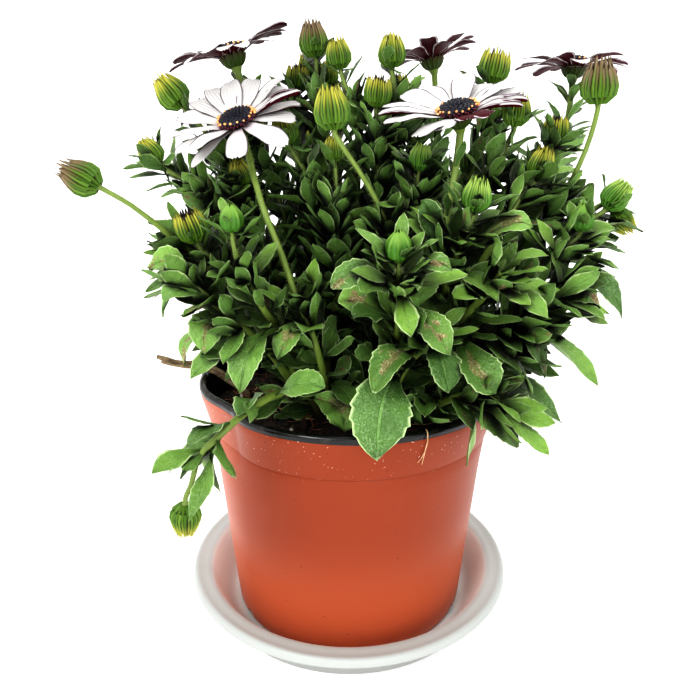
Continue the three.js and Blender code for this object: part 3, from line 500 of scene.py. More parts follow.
def cutNotches(shell):
    for n in range(pot["notches"]):
        angle = math.radians(pot["notchAt"] + 360 / pot["notches"] * n)
        place = (*polar((pot["footR"] - 0.5) * mm, angle), pot["footZ"] * mm)
        bpy.ops.mesh.primitive_cylinder_add(vertices=20, radius=pot["notchR"] * mm, depth=14 * mm,
                                            location=place, rotation=(math.pi / 2, 0, angle + math.pi / 2))
        cutter = bpy.context.object
        modified(shell, "BOOLEAN", operation="DIFFERENCE", object=cutter, solver="EXACT")
        bpy.data.objects.remove(cutter)


# The faces inside, under and over the rolled rim are black, and the rest is terracotta.
def isBlack(face):
    z = face.center.z / mm
    outward = face.normal.x * face.center.x + face.normal.y * face.center.y
    inside = z > pot["footZ"] + 1 and (face.normal.z > 0.7 or outward < 0)
    return z > pot["rimZ"] - 0.2 or (inside and z < pot["seamZ"] - 2) or outward < 0


def makePot():
    foot, base, thick, rows = pot["footR"], pot["footZ"], pot["thick"], pot["wallRows"]
    seam, seamZ, band = pot["seamR"], pot["seamZ"], pot["seamR"] + pot["step"]
    rim, rimZ = pot["rimR"], pot["rimZ"]
    profile = [(offAxis, base + 0.6), (foot - 9, base + 0.6), (foot - 8, base), (foot - 1.8, base),
               (foot - 0.5, base + 0.6), (foot, base + 2)]
    profile += [(foot + (seam - foot) * share, base + 2 + (seamZ - 0.9 - base - 2) * share)
                for share in (n / rows for n in range(1, rows))]
    profile += [(seam, seamZ - 0.9), (seam - 0.25, seamZ - 0.2), (band, seamZ + 0.4)]
    profile += [(band + (rim - band) * share, seamZ + 0.4 + (rimZ - seamZ - 0.4) * share)
                for share in (0.2, 0.4, 0.6, 0.8, 0.94)]
    profile += [(rim - 0.35, rimZ - 0.25)]
    profile += arc(rim - pot["rollR"], rimZ + pot["rollRise"], pot["rollR"], -38, 205, 12)
    profile += [(rim - thick - 2, rimZ - 0.6), (seam - thick + 2.4, seamZ + 9), (seam - thick, seamZ),
                (foot - thick + 3.6, 45), (foot - thick, base + 3), (foot - thick - 2, base + pot["floor"]),
                (offAxis, base + pot["floor"])]
    shell = turned(profile, pot["steps"])
    cutNotches(shell)
    pressedOutOfRound(shell)
    for paint in (potPaint(), blackPaint()):
        shell.data.materials.append(paint)
    for face in shell.data.polygons:
        face.material_index = int(isBlack(face))
    smoothed(shell, 35)
    finished(shell, "potShell", "pot", "pot")


makePot()
print("pot", flush=True)


soil = dict(level=109, slopeX=0.055, slopeY=-0.05, bump=1.2, steps=96, rings=26, plugR=56, plugMiddle=54.4,
            plugDepth=100, footR=54.5, footZ=4.6, gap=0.7, scatterR=63, crumbs=420, fibres=70, perlite=26,
            roots=16)


# The height of the soil at a place.
def soilTop(x, y):
    return (soil["level"] + soil["slopeX"] * x + soil["slopeY"] * y
            + soil["bump"] * math.sin(x * 0.21 + 1) * math.cos(y * 0.17))


def soilPaint():
    paint = Paint("peat", roughness=0.93)
    coarse = paint.noise(220, 4, 0.7)
    fine = paint.noise(900, 4, 0.7)
    colour = paint.mix(paint.ramp(coarse, 0.35, 0.7), (26, 20, 17), (62, 44, 33))
    colour = paint.mix(paint.ramp(fine, 0.6, 0.8), colour, (104, 76, 52))
    normal = paint.bump(fine, 0.0006, 0.8, paint.bump(coarse, 0.0015, 0.8))
    # Painted shade darkens the peat in its hollows and gaps.
    return paint.done(paint.paintedGapShade(colour, 0.006, (8, 6, 5)), normal)


# Two colours in spots, with a little relief.
def plainPaint(name, low, high, roughness, scale=300):
    paint = Paint(name, roughness=roughness)
    spots = paint.noise(scale, 3)
    return paint.done(paint.mix(paint.ramp(spots, 0.3, 0.7), low, high), paint.bump(spots, 0.0002, 0.5))


# How far the soil reaches inside the pot's wall.
def soilReach(angle, z):
    wall = pot["thick"]
    inner = pot["footR"] - wall + (pot["seamR"] - pot["footR"]) * (z - 5.5) / 92.5
    if z > pot["seamZ"]:
        inner = pot["seamR"] - wall + (pot["rimR"] - pot["seamR"] - wall) * (z - pot["seamZ"]) / 18
    share, dent = outOfRound(angle, z)
    return (inner - soil["gap"]) * share + dent


# A random bent line near the ground, as points.
def lyingLine(next, length, lift):
    angle = 2 * math.pi * next()
    x, y = polar((soil["scatterR"] - 1) * math.sqrt(next()), angle)
    heading = 2 * math.pi * next()
    points = []
    for n in range(5):
        if math.hypot(x, y) > soil["scatterR"]:
            break
        points.append(vec(x, y, soilTop(x, y) + lift + 1.2 * math.sin(1.3 * n + 6 * next())))
        heading += 1.6 * (next() - 0.5)
        dx, dy = polar(length / 5, heading)
        x, y = x + dx, y + dy
    return points


# Several such lines, with radii that taper from the first one. Those cut short at the edge are left out.
def lyingLines(next, count, shortest, more, lift, thick):
    lines = [lyingLine(next, shortest + more * next(), lift) for n in range(count)]
    return [(points, [thick - 0.04 * k for k in range(len(points))]) for points in lines if len(points) > 2]


# Tubes through points, drawn as curves and converted. Radii may differ from point to point.
def tubes(lines, sides, detail):
    bpy.ops.curve.primitive_bezier_curve_add()
    thing = bpy.context.object
    curve = thing.data
    curve.splines.clear()
    curve.dimensions = "3D"
    curve.bevel_depth = mm
    curve.bevel_resolution = sides
    curve.resolution_u = detail
    curve.use_fill_caps = True
    for points, radii in lines:
        line = curve.splines.new("BEZIER")
        line.bezier_points.add(len(points) - 1)
        for place, radius, knot in zip(points, radii, line.bezier_points):
            knot.co = Vector(place) * mm
            knot.radius = radius
            knot.handle_left_type = knot.handle_right_type = "AUTO"
    activate(thing)
    bpy.ops.object.convert(target="MESH")
    thing = bpy.context.object
    editMode(True)
    bpy.ops.mesh.select_all(action="SELECT")
    bpy.ops.mesh.normals_make_consistent(inside=False)
    editMode(False)
    bpy.ops.object.shade_smooth()
    return thing


def makePlug(next):
    radius, depth = soil["plugR"], soil["plugDepth"]
    top = 104  # everything under this height is the plug's side or its bottom
    bpy.ops.mesh.primitive_cylinder_add(vertices=soil["steps"], radius=radius * mm, depth=depth * mm,
                                        location=(0, 0, soil["plugMiddle"] * mm), end_fill_type="NGON")
    plug = bpy.context.object
    bpy.ops.object.transform_apply(location=True)
    pick(plug, "edges", lambda a, b: abs(a.z - b.z) > 50 * mm)
    bpy.ops.mesh.subdivide(number_cuts=9)
    editMode(False)
    pick(plug, "polygons", lambda centre, normal: normal.z > 0.9)
    for n in range(soil["rings"]):
        bpy.ops.mesh.inset(thickness=radius * mm / (soil["rings"] + 1), use_even_offset=True)
    editMode(False)
    for vertex in plug.data.vertices:
        x, y, z = vertex.co.x / mm, vertex.co.y / mm, vertex.co.z / mm
        angle = math.atan2(y, x) % (2 * math.pi)
        r = math.hypot(x, y) / radius
        if z < top:
            reach = soil["footR"] if z < 5 else soilReach(angle, z)
            vertex.co = vec(*polar(reach, angle), max(z, soil["footZ"])) * mm
            continue
        height = soilTop(*polar(60 * r, angle))
        reach = soilReach(angle, height) * r
        height += (1.1 * (next() - 0.5) if r < 0.99 else -1.6)
        vertex.co = vec(*polar(reach, angle), height) * mm
    plug.data.materials.append(soilPaint())
    smoothed(plug, 60)
    finished(plug, "peatPlug", "soil", "soil")


# Grains strewn over the soil, every third of them near its front edge.
def strewGrains(next, grain, name, count, small, large, paint):
    batch = newBatch()
    for n in range(count):
        angle = 2 * math.pi * next()
        reach = soil["scatterR"] * math.sqrt(next())
        if n % 3 == 0:
            angle = math.radians(200 + 140 * next())
            reach = 55 + 9 * next()
        x, y = polar(reach, angle)
        size = small + (large - small) * next() ** 2
        axis = unit(vec(next() - 0.5, next() - 0.5, next() + 0.1))
        u, v = squareTo(axis, vec(1, 0.3, 0.2))
        turn = grain["points"] @ np.array([u * (0.7 + 0.6 * next()), v * (0.7 + 0.6 * next()), axis])
        addCopy(batch, grain, turn * size + vec(x, y, soilTop(x, y) + 0.2))
    finished(batchObject(batch, [paint], 50), name, "soil")


# A pale root hangs over the rim at the front, with a fork.
rootOver = dict(
    over=[vec(30, -58, 110.5), vec(30.8, -61.5, 118), vec(31.2, -63.4, 120.1), vec(31.6, -65.2, 117.6),
          vec(30.9, -63.9, 111), vec(29.9, -62.7, 104)], overRadii=[0.3, 0.32, 0.3, 0.3, 0.25, 0.16],
    fork=[vec(29.6, -64, 108), vec(28, -63.9, 105.5)], forkRadii=[0.2, 0.18, 0.14])


def makeSoil():
    next = draws(401)
    makePlug(next)
    crumb = drawnOut(5, [(-0.8, 0.5, 0.6), (-0.1, 1, 0.9), (0.7, 0.5, 0.55)])
    grain = templateOf(crumb, lambda co: (0, 0))
    perlitePaint = plainPaint("perlite", (214, 209, 198), (178, 170, 158), 0.9)
    strewGrains(next, grain, "peatCrumbs", soil["crumbs"], 0.9, 2.6, soilPaint())
    strewGrains(next, grain, "perlite", soil["perlite"], 0.8, 1.5, perlitePaint)
    fibres = tubes(lyingLines(next, soil["fibres"], 16, 16, 1.0, 0.28), 1, 3)
    fibres.data.materials.append(plainPaint("brown fibre", (96, 58, 38), (140, 98, 66), 0.85))
    finished(fibres, "peatFibres", "soil")
    r = rootOver
    lines = [(r["over"], r["overRadii"]), ([r["over"][4]] + r["fork"], r["forkRadii"])]
    roots = tubes(lines + lyingLines(next, soil["roots"], 18, 14, 1.4, 0.3), 1, 4)
    roots.data.materials.append(plainPaint("pale root", (176, 132, 88), (214, 180, 140), 0.7))
    finished(roots, "paleRoots", "soil")


makeSoil()
print("soil", flush=True)


twig = dict(foot=(-52, 6), sunk=8, bends=[vec(-69, 3, 122), vec(-82, 0, 125), vec(-93, 0, 128)], cuts=16,
            thick=1.35, frayedAt=8)


def twigPaint():
    paint = Paint("dry bark", roughness=0.9)
    grain = paint.noise(260, 5, 0.7, stretch=(0.35, 1, 1))
    colour = paint.mix(paint.ramp(grain, 0.35, 0.65), (70, 56, 40), (152, 134, 104))
    # Painted shade darkens the bark where the strands lie close.
    return paint.done(paint.paintedGapShade(colour, 0.002, (40, 26, 18)), paint.bump(grain, 0.0005, 1.0))


# Two strands side by side, with a frayed end and a hair root.
def makeTwig():
    cuts, at = twig["cuts"], twig["frayedAt"]
    foot = vec(*twig["foot"], soilTop(*twig["foot"]) - twig["sunk"])
    points = [foot, foot + vec(0, 0, 10)] + twig["bends"]
    line = [spinePoint(points, k / cuts) for k in range(cuts + 1)]
    next = draws(77)
    lines = []
    for side, last in ((1, cuts + 1), (-1, cuts)):
        path = [p + side * vec(0.3, 0.7, 1.1) * (0.8 - 0.02 * k) for k, p in enumerate(line)]
        radii = [twig["thick"] - 0.02 * k + 0.4 * (next() - 0.5) for k in range(cuts + 1)]
        lines.append((path[:last], radii[:last]))
    frayed = [line[at], line[at + 1] + vec(1, -1, -1.6), line[at + 2] + vec(2, -1.6, -3.4)]
    hairRoot = [line[-1] + vec(*off) for off in ((0, 0, 1), (-2, 0, 4.5), (-2.4, 0, 8), (0, 0, 11))]
    wood = tubes(lines + [(frayed, [0.6, 0.45, 0.2]), (hairRoot, [0.18, 0.14, 0.12, 0.08])], 3, 3)
    wood.data.materials.append(twigPaint())
    finished(wood, "dryTwig", "twig", "twig")


makeTwig()
print("twig", flush=True)


# The stems, leaves and blooms, in millimetres. A root is where a plant leaves the soil, and a shoot
# carries leaves of one length and ends in a bud, a bloom or a leafy tip. Layers are those of its
# standing leaves.
plants = [
    dict(name="side_branch", root=[-14, -28], everyNth=6, shoots=[
        dict(points=[[-20, -44, 130], [-34, -66, 134], [-46, -80, 129], [-56, -85, 120]], leaves=6, length=28,
             start=0.62,
             bud=dict(stalk=[[-60, -86, 108], [-63, -85, 101]], size=5.6, facing=[-0.05, 0, -1]))]),
    dict(name="front_left", root=[-7, -17], shoots=[
        dict(points=[[-10, -36, 130], [-15, -47, 155], [-20, -48, 168]], leaves=7, length=30, start=0.35,
             bloom=dict(stalk=[[-27, -42, 187], [-35, -35, 206]], name="front_left"))]),
    dict(name="left_front", root=[-24, -16], shoots=[
        dict(points=[[-27, -40, 150], [-34, -53, 168], [-41, -60, 185]], leaves=6, length=26,
             bud=dict(stalk=[[-43.6, -59.9, 198.1]], size=4.3, facing=[0, -0.1, 1], look="young")),
        dict(points=[[-34, -40, 146], [-48, -53, 165], [-60, -55, 178]], leaves=6, length=29)]),
    dict(name="left", root=[-28, -2], shoots=[
        dict(points=[[-40, -24, 152], [-50, -37, 174], [-56, -42, 185]], leaves=6, length=26,
             bud=dict(stalk=[[-60, -43, 191]], size=5.8, facing=[-0.3, -0.1, 1], look="open")),
        dict(points=[[-48, -12, 158], [-60, -26, 180], [-68, -34, 189]], leaves=6, length=28,
             bud=dict(stalk=[[-84.9, -43, 206.8], [-94.2, -46, 213.4]], size=6.3, facing=[-0.87, 0, 0.49],
                      look="dark"))]),
    dict(name="left_back", root=[-26, 12], layers=3, shoots=[
        dict(points=[[-42, 2, 160], [-57, -4, 192], [-64, -8, 207]], leaves=5, length=28,
             bud=dict(stalk=[[-80.6, -9, 218.7]], size=4.9, facing=[-0.58, 0, 0.81])),
        dict(points=[[-34, -2, 164], [-42, -6, 190], [-45, -8, 202]], leaves=5, length=25,
             bud=dict(stalk=[[-45.2, -7.7, 209.1]], size=4.7, facing=[-0.25, -0.2, 0.97]))]),
    dict(name="back_left", root=[-16, 22], layers=3, shoots=[
        dict(points=[[-40, 22, 175], [-52, 15, 212], [-58, 12, 224]], leaves=5, length=24,
             bud=dict(stalk=[[-72.6, 10, 241.5]], size=6.5, facing=[-0.61, 0, 0.79])),
        dict(points=[[-26, 22, 175], [-39, 18, 215], [-43, 16, 232]], leaves=5, length=24,
             bloom=dict(stalk=[[-47, 16, 249]], name="back_left"))]),
    dict(name="centre_left", root=[-9, 2], layers=3, shoots=[
        dict(points=[[-14, 2, 160], [-14, 1, 192], [-16, 0, 208]], leaves=6, length=28,
             bud=dict(stalk=[[-26, 0.1, 226.2]], size=5.4, facing=[-0.27, -0.1, 0.96])),
        dict(points=[[-7, -10, 150], [-5, -15, 178], [-5, -10, 198]], leaves=6, length=27,
             bud=dict(stalk=[[-5.9, -6, 219]], size=4.5, facing=[-0.07, 0, 1]))]),
    dict(name="centre_right", root=[9, -7], layers=3, shoots=[
        dict(points=[[18, -16, 150], [18, -27, 182], [16, -33, 196]], leaves=6, length=27,
             bud=dict(stalk=[[8, -35, 212.9], [-5.5, -37, 233.2]], size=6.6, facing=[-0.12, 0, 0.99])),
        dict(points=[[26, -14, 160], [29, -21, 192], [28, -26, 210]], leaves=6, length=27,
             bud=dict(stalk=[[28.2, -26, 217]], size=4.5, facing=[0.12, 0, 0.99], look="pale"))]),
    dict(name="front", root=[8, -28], shoots=[
        dict(points=[[18, -52, 150], [18, -76, 176], [17, -86, 190]], leaves=6, length=28,
             bud=dict(stalk=[[16.7, -86.9, 192.6]], size=4.5, facing=[-0.02, -0.1, 1], look="young"))]),
    dict(name="front_right", root=[20, -18], shoots=[
        dict(points=[[30, -34, 148], [34, -42, 170], [36, -44, 185]], leaves=6, length=26,
             bloom=dict(stalk=[[39, -42, 206]], name="front_right")),
        dict(points=[[36, -40, 158], [39, -56, 185], [42, -63, 199]], leaves=6, length=28,
             bud=dict(stalk=[[45.5, -62.9, 206]], size=5.0, facing=[0.07, -0.1, 1], look="pale"))]),
    dict(name="front_fan", root=[14, -42], shoots=[
        dict(points=[[22, -54, 142], [28, -62, 154], [31, -68, 163]], leaves=4, length=28)]),
    dict(name="right_front", root=[30, -26], shoots=[
        dict(points=[[42, -44, 155], [50, -62, 174], [55, -69, 186]], leaves=6, length=29),
        dict(points=[[48, -36, 135], [60, -48, 150], [68, -54, 156]], leaves=7, length=31)]),
    dict(name="right_low", root=[26, -44], shoots=[
        dict(points=[[38, -54, 128], [50, -64, 136], [58, -68, 134]], leaves=5, length=30)]),
    dict(name="right", root=[26, -4], shoots=[
        dict(points=[[48, -16, 160], [65, -24, 196], [72, -23, 209]], leaves=6, length=28,
             bud=dict(stalk=[[76.8, -22.9, 214.1]], size=5.1, facing=[0.25, -0.1, 0.97])),
        dict(points=[[42, -6, 165], [56, -12, 203], [61, -14, 217]], leaves=6, length=25,
             bud=dict(stalk=[[68.3, -15, 233.8]], size=5.5, facing=[0.08, 0, 1]))]),
    dict(name="right_back", root=[32, 8], layers=2, shoots=[
        dict(points=[[56, 6, 165], [80, 8, 204], [88, 9, 219]], leaves=5, length=28,
             bud=dict(stalk=[[91.7, 9, 225.5]], size=5.3, facing=[0.07, 0, 1], look="open")),
        dict(points=[[60, -2, 158], [80, -10, 188], [89, -15, 203]], leaves=5, length=28,
             bud=dict(stalk=[[98.2, -17, 225.4], [101.3, -18, 242.3]], size=6.9, facing=[-0.05, 0, 1],
                      look="dark"))]),
    dict(name="right_far", root=[38, -12], shoots=[
        dict(points=[[66, -20, 150], [86, -24, 180], [99, -24, 197]], leaves=6, length=28,
             bud=dict(stalk=[[106.5, -23, 201.5]], size=5.5, facing=[0.58, 0, 0.81], look="pale")),
        dict(points=[[62, -32, 148], [77, -46, 178], [84, -50, 192]], leaves=6, length=28,
             bud=dict(stalk=[[88.9, -49.9, 196.7]], size=4.4, facing=[0.03, -0.1, 1], look="young")),
        dict(points=[[60, -38, 140], [72, -54, 164], [84, -60, 180]], leaves=6, length=29)]),
    dict(name="back", root=[-4, 16], layers=2, shoots=[
        dict(points=[[-12, 30, 175], [-15, 43, 222], [-17, 45, 246]], leaves=5, length=23,
             bud=dict(stalk=[[-16.8, 45, 253.2]], size=5.4, facing=[-0.24, 0, 0.97])),
        dict(points=[[-20, 26, 170], [-25, 36, 222], [-27, 38, 241]], leaves=5, length=23,
             bud=dict(stalk=[[-24.5, 38, 248.2]], size=5.3, facing=[0.02, 0, 1], look="open"))]),
    dict(name="back_middle", root=[4, 10], layers=2, shoots=[
        dict(points=[[-4, 22, 178], [-5, 36, 224], [-7, 41, 240]], leaves=5, length=22,
             bud=dict(stalk=[[-11.2, 41, 250.2]], size=4.8, facing=[0.16, 0, 0.99])),
        dict(points=[[-2, 14, 180], [-10, 20, 228], [-14, 23, 246]], leaves=5, length=22,
             bud=dict(stalk=[[-15, 25, 262.4]], size=6.2, facing=[-0.12, 0, 0.99], look="dark"))]),
    dict(name="back_top", root=[11, 3], layers=3, shoots=[
        dict(points=[[4, 6, 178], [4, 9, 228], [2, 12, 242]], leaves=5, length=23,
             bud=dict(stalk=[[-3.5, 13, 256.9]], size=5.3, facing=[-0.16, 0, 0.99])),
        dict(points=[[14, 4, 180], [20, 6, 226], [21, 8, 243]], leaves=5, length=23,
             bud=dict(stalk=[[18.8, 9, 257.4]], size=5.6, facing=[-0.04, 0, 1])),
        dict(points=[[12, -4, 185], [12, -5, 220], [12, -5, 233]], leaves=5, length=22,
             bud=dict(stalk=[[11.5, -4.9, 241.4]], size=5.5, facing=[0.08, -0.1, 1], look="open"))]),
    dict(name="back_right", root=[16, 16], layers=3, shoots=[
        dict(points=[[24, 22, 182], [30, 28, 222], [28, 30, 236]], leaves=5, length=23,
             bud=dict(stalk=[[24, 30, 243.9]], size=5.0, facing=[-0.12, 0, 0.99], look="open")),
        dict(points=[[42, 12, 180], [58, 13, 220], [63, 14, 240]], leaves=5, length=24,
             bud=dict(stalk=[[62.8, 14, 251.1]], size=6.3, facing=[0.16, 0, 0.99], look="open"))]),
    dict(name="back_far", root=[22, 28], layers=2, shoots=[
        dict(points=[[34, 42, 178], [45, 62, 224], [45, 65, 238]], leaves=6, length=25,
             bloom=dict(stalk=[], name="back_right"))]),
    dict(name="right_rear", root=[36, 22], shoots=[
        dict(points=[[66, 34, 170], [96, 50, 205], [106, 54, 220]], leaves=6, length=28,
             bloom=dict(stalk=[[111, 56, 239]], name="right"))]),
    dict(name="rear_left", root=[-28, 30], layers=2, shoots=[
        dict(points=[[-46, 42, 150], [-60, 52, 184], [-64, 54, 202]], leaves=5, length=28,
             bud=dict(stalk=[[-66, 56, 214]], size=5.4, facing=[-0.2, 0.2, 1])),
        dict(points=[[-50, 28, 140], [-74, 32, 160], [-84, 32, 174]], leaves=5, length=28)]),
    dict(name="rear", root=[-4, 38], layers=2, shoots=[
        dict(points=[[-14, 58, 150], [-20, 76, 184], [-20, 80, 204]], leaves=5, length=28,
             bud=dict(stalk=[[-22, 82, 216]], size=5.6, facing=[-0.1, 0.2, 1])),
        dict(points=[[4, 60, 140], [10, 84, 158], [12, 92, 170]], leaves=5, length=28)]),
    dict(name="rear_right", root=[14, 46], layers=2, shoots=[
        dict(points=[[36, 60, 150], [50, 78, 182], [54, 82, 198]], leaves=5, length=28),
        dict(points=[[46, 50, 140], [72, 58, 158], [84, 60, 172]], leaves=5, length=28,
             bud=dict(stalk=[[90, 62, 184]], size=5.2, facing=[0.4, 0.2, 1]))]),
]
# Each large leaf: its plant, where it starts, its middle and tip, its width and where its face looks.
largeLeaves = [
    ("front_fan", [20, -54, 143], [13, -76, 139], [11, -81, 116], 22, [0, -0.8, 0.6]),
    ("front_fan", [28, -62, 155], [17, -75, 156], [9, -82, 144], 15, [-0.2, -0.6, 0.8]),
    ("front", [18, -76, 177], [26, -89, 174], [35, -94, 163], 12, [0.3, -0.7, 0.6]),
    ("front_fan", [29, -65, 158], [34, -75, 155], [37, -80, 143], 14, [0.1, -0.7, 0.7]),
    ("right_front", [43, -46, 156], [47, -72, 153], [55, -78, 142], 15, [0.2, -0.8, 0.6]),
    ("front", [18, -64, 164], [7, -70, 174], [-4, -76, 177], 14, [0.2, -0.6, 0.8]),
    ("left_front", [-31, -45, 158], [-38, -65, 155], [-42, -71, 139], 13, [-0.2, -0.8, 0.5]),
    ("left", [-43, -27, 157], [-54, -50, 163], [-58, -56, 150], 15, [-0.3, -0.8, 0.5]),
    ("left", [-44, -8, 150], [-64, -36, 154], [-69, -44, 140], 11, [-0.6, -0.6, 0.5]),
    ("side_branch", [-30, -60, 134], [-20, -73, 144], [-9, -79, 145], 12, [0, -0.7, 0.7]),
    ("front_left", [-17, -48, 160], [-23, -58, 160], [-28, -63, 150], 11, [-0.2, -0.8, 0.6]),
    ("right_low", [42, -57, 131], [54, -70, 131], [66, -73, 117], 14, [0.2, -0.6, 0.8]),
    ("right_low", [50, -63, 136], [63, -64, 135], [70, -68, 121], 14, [0.5, -0.6, 0.6]),
    ("right_front", [62, -49, 150], [72, -58, 156], [77, -62, 142], 10, [0.5, -0.6, 0.6]),
    ("right_far", [72, -54, 164], [88, -58, 176], [96, -60, 170], 12, [0.2, -0.7, 0.7]),
    ("right_far", [74, -43, 172], [97, -50, 178], [108, -53, 164], 11, [0.3, -0.5, 0.8]),
    ("front", [18, -76, 176], [5, -84, 189], [-6, -88, 185], 11, [-0.1, -0.6, 0.8]),
    ("front", [18, -84, 187], [26, -93, 195], [34, -95, 193], 7, [0.1, -0.6, 0.8]),
    ("front_right", [36, -49, 173], [32, -60, 200], [26, -61, 211], 9, [-0.2, -0.8, 0.4]),
    ("front_right", [39, -56, 185], [54, -66, 202], [66, -69, 203], 9, [0, -0.5, 0.9]),
    ("left_front", [-58, -55, 176], [-67, -58, 188], [-76, -60, 185], 11, [-0.2, -0.5, 0.8]),
    ("left_front", [-50, -53, 167], [-64, -63, 178], [-71, -65, 168], 11, [-0.4, -0.6, 0.7]),
    ("side_branch", [-19, -42, 128], [-6, -56, 128], [-2, -61, 118], 14, [0, -0.5, 0.8]),
]
blooms = [
    dict(name="front_left", centre=[-46, -16, 237.5], tilt=[-0.25, -0.43, 0.87], petals=16, reach=30,
         width=8, lift=2, sag=2, arch=1, seed=11),
    dict(name="front_right", centre=[42, -34, 241.3], tilt=[-0.2, -0.28, 0.94], petals=17, reach=30.5,
         width=7.5, lift=10, sag=2.5, arch=1, seed=12),
    dict(name="back_left", centre=[-51.8, 16, 265], tilt=[-0.3, 0.1, 0.95], petals=15, reach=27,
         width=7.6, lift=8, sag=1.5, arch=4, seed=13),
    dict(name="back_right", centre=[42, 67, 266], tilt=[-0.2, 0.12, 0.97], petals=14, reach=25,
         width=7.4, lift=16, sag=1, arch=3, seed=14),
    dict(name="right", centre=[111.7, 57, 261.8], tilt=[0.02, 0.1, 0.99], petals=15, reach=28,
         width=7.8, lift=6, sag=2.5, arch=3, seed=15),
]


# Outlines of the blades: a place along the midrib, and the share of the half width there.
plainRows = [(0, 0.09), (0.16, 0.15), (0.32, 0.42), (0.48, 0.8), (0.62, 1), (0.76, 0.92), (0.9, 0.54),
             (1, 0.02)]
toothedRows = [(0, 0.09), (0.15, 0.14), (0.32, 0.42), (0.48, 0.8), (0.575, 0.97), (0.6, 0.88), (0.68, 0.97),
               (0.71, 0.85), (0.82, 0.78), (0.92, 0.42), (1, 0.02)]
youngRows = [(0, 0.14), (0.25, 0.42), (0.5, 0.88), (0.68, 1), (0.86, 0.64), (1, 0.02)]
fineRows = [(0, 0.08), (0.1, 0.11), (0.2, 0.22), (0.3, 0.46), (0.4, 0.72), (0.48, 0.87), (0.51, 0.94),
            (0.53, 0.87), (0.58, 0.96), (0.615, 1.02), (0.635, 0.93), (0.68, 0.95), (0.715, 0.98),
            (0.735, 0.87), (0.78, 0.84), (0.82, 0.81), (0.84, 0.7), (0.88, 0.6), (0.93, 0.4), (0.97, 0.2),
            (1, 0.03)]
petalRows = [(0, 0.42), (0.07, 0.44), (0.18, 0.56), (0.3, 0.74), (0.42, 0.88), (0.54, 0.97), (0.65, 1),
             (0.76, 0.98), (0.86, 0.89), (0.93, 0.74), (0.97, 0.58), (1, 0.4)]
leafThick = dict(groove=0.25, ribBelow=0.75, plate=0.3)
petalThick = dict(groove=-0.12, ribBelow=0.12, plate=0.26)


# The edges of the lower face that run along the blade and aren't needed there.
def spareEdges(blade, below):
    verts = blade.data.vertices
    kept = [-1 + 2 * n / below for n in range(below + 1)]
    for edge in blade.data.edges:
        a, b = (verts[n] for n in edge.vertices)
        if a.select and b.select and abs(a.co.x - b.co.x) < 1e-4:
            if min(abs(a.co.x - place) for place in kept) > 2e-3:
                yield edge.index


# A flat grid shaped to the outline, with a second face below that shares its edge. Across runs from
# -1 to 1, along from 0 to 1, and up is in millimetres.
def bladeTemplate(rows, columns, below, thick, span):
    bpy.ops.mesh.primitive_grid_add(x_subdivisions=columns, y_subdivisions=len(rows) - 1, size=2)
    blade = bpy.context.object
    aside = 10
    for n, (s, _) in enumerate(rows):
        y = -1 + 2 * n / (len(rows) - 1)
        pick(blade, "vertices", lambda co: abs(co.y - y) < 1e-4)
        bpy.ops.transform.translate(value=(0, s + aside - y, 0))
        editMode(False)
    activate(blade)
    editMode(True)
    bpy.ops.mesh.select_all(action="SELECT")
    bpy.ops.transform.translate(value=(0, -aside, 0))
    bpy.ops.mesh.duplicate_move()
    bpy.ops.mesh.flip_normals()
    editMode(False)
    spare = list(spareEdges(blade, below)) if below < columns else []
    if spare:
        editMode(True)
        bpy.ops.mesh.select_mode(type="EDGE")
        bpy.ops.mesh.select_all(action="DESELECT")
        editMode(False)
        for n in spare:
            blade.data.edges[n].select = True
        editMode(True)
        bpy.ops.mesh.dissolve_edges(use_verts=False)
        bpy.ops.mesh.select_mode(type="VERT")
        editMode(False)
    isTop = {n: face.normal.z > 0 for face in blade.data.polygons for n in face.vertices}
    for n, vertex in enumerate(blade.data.vertices):
        if n not in isTop or abs(vertex.co.x) > 0.999 or not 0.001 < vertex.co.y < 0.999:
            continue
        if abs(vertex.co.x) < 1e-3:
            vertex.co.z = -thick["groove"] if isTop[n] else -thick["ribBelow"]
        else:
            vertex.co.z = thick["plate"] / 2 if isTop[n] else -thick["plate"] / 2
    activate(blade)
    editMode(True)
    bpy.ops.mesh.select_all(action="SELECT")
    bpy.ops.mesh.remove_doubles(threshold=1e-4)
    editMode(False)
    made = templateOf(blade, span=span)
    widths = {round(s, 3): w for s, w in rows}
    made["wide"] = np.array([widths[round(float(y), 3)] for y in made["points"][:, 1]])
    return made


plainBlade = bladeTemplate(plainRows, 4, 2, leafThick, 1.07)
toothedBlade = bladeTemplate(toothedRows, 4, 2, leafThick, 0.98)
youngBlade = bladeTemplate(youngRows, 4, 2, leafThick, 1.07)
fineBlade = bladeTemplate(fineRows, 8, 4, leafThick, 0.94)
petalBlade = bladeTemplate(petalRows, 6, 6, petalThick, 1)


# Two notches at a petal's tip.
def notched(template):
    x, s = template["points"][:, 0], template["points"][:, 1]
    s[(np.abs(np.abs(x) - 0.333) < 0.02) & (s > 0.99)] -= 0.045
    s[(np.abs(x) > 0.99) & (s > 0.96)] -= 0.025


notched(petalBlade)
print("blade templates", flush=True)


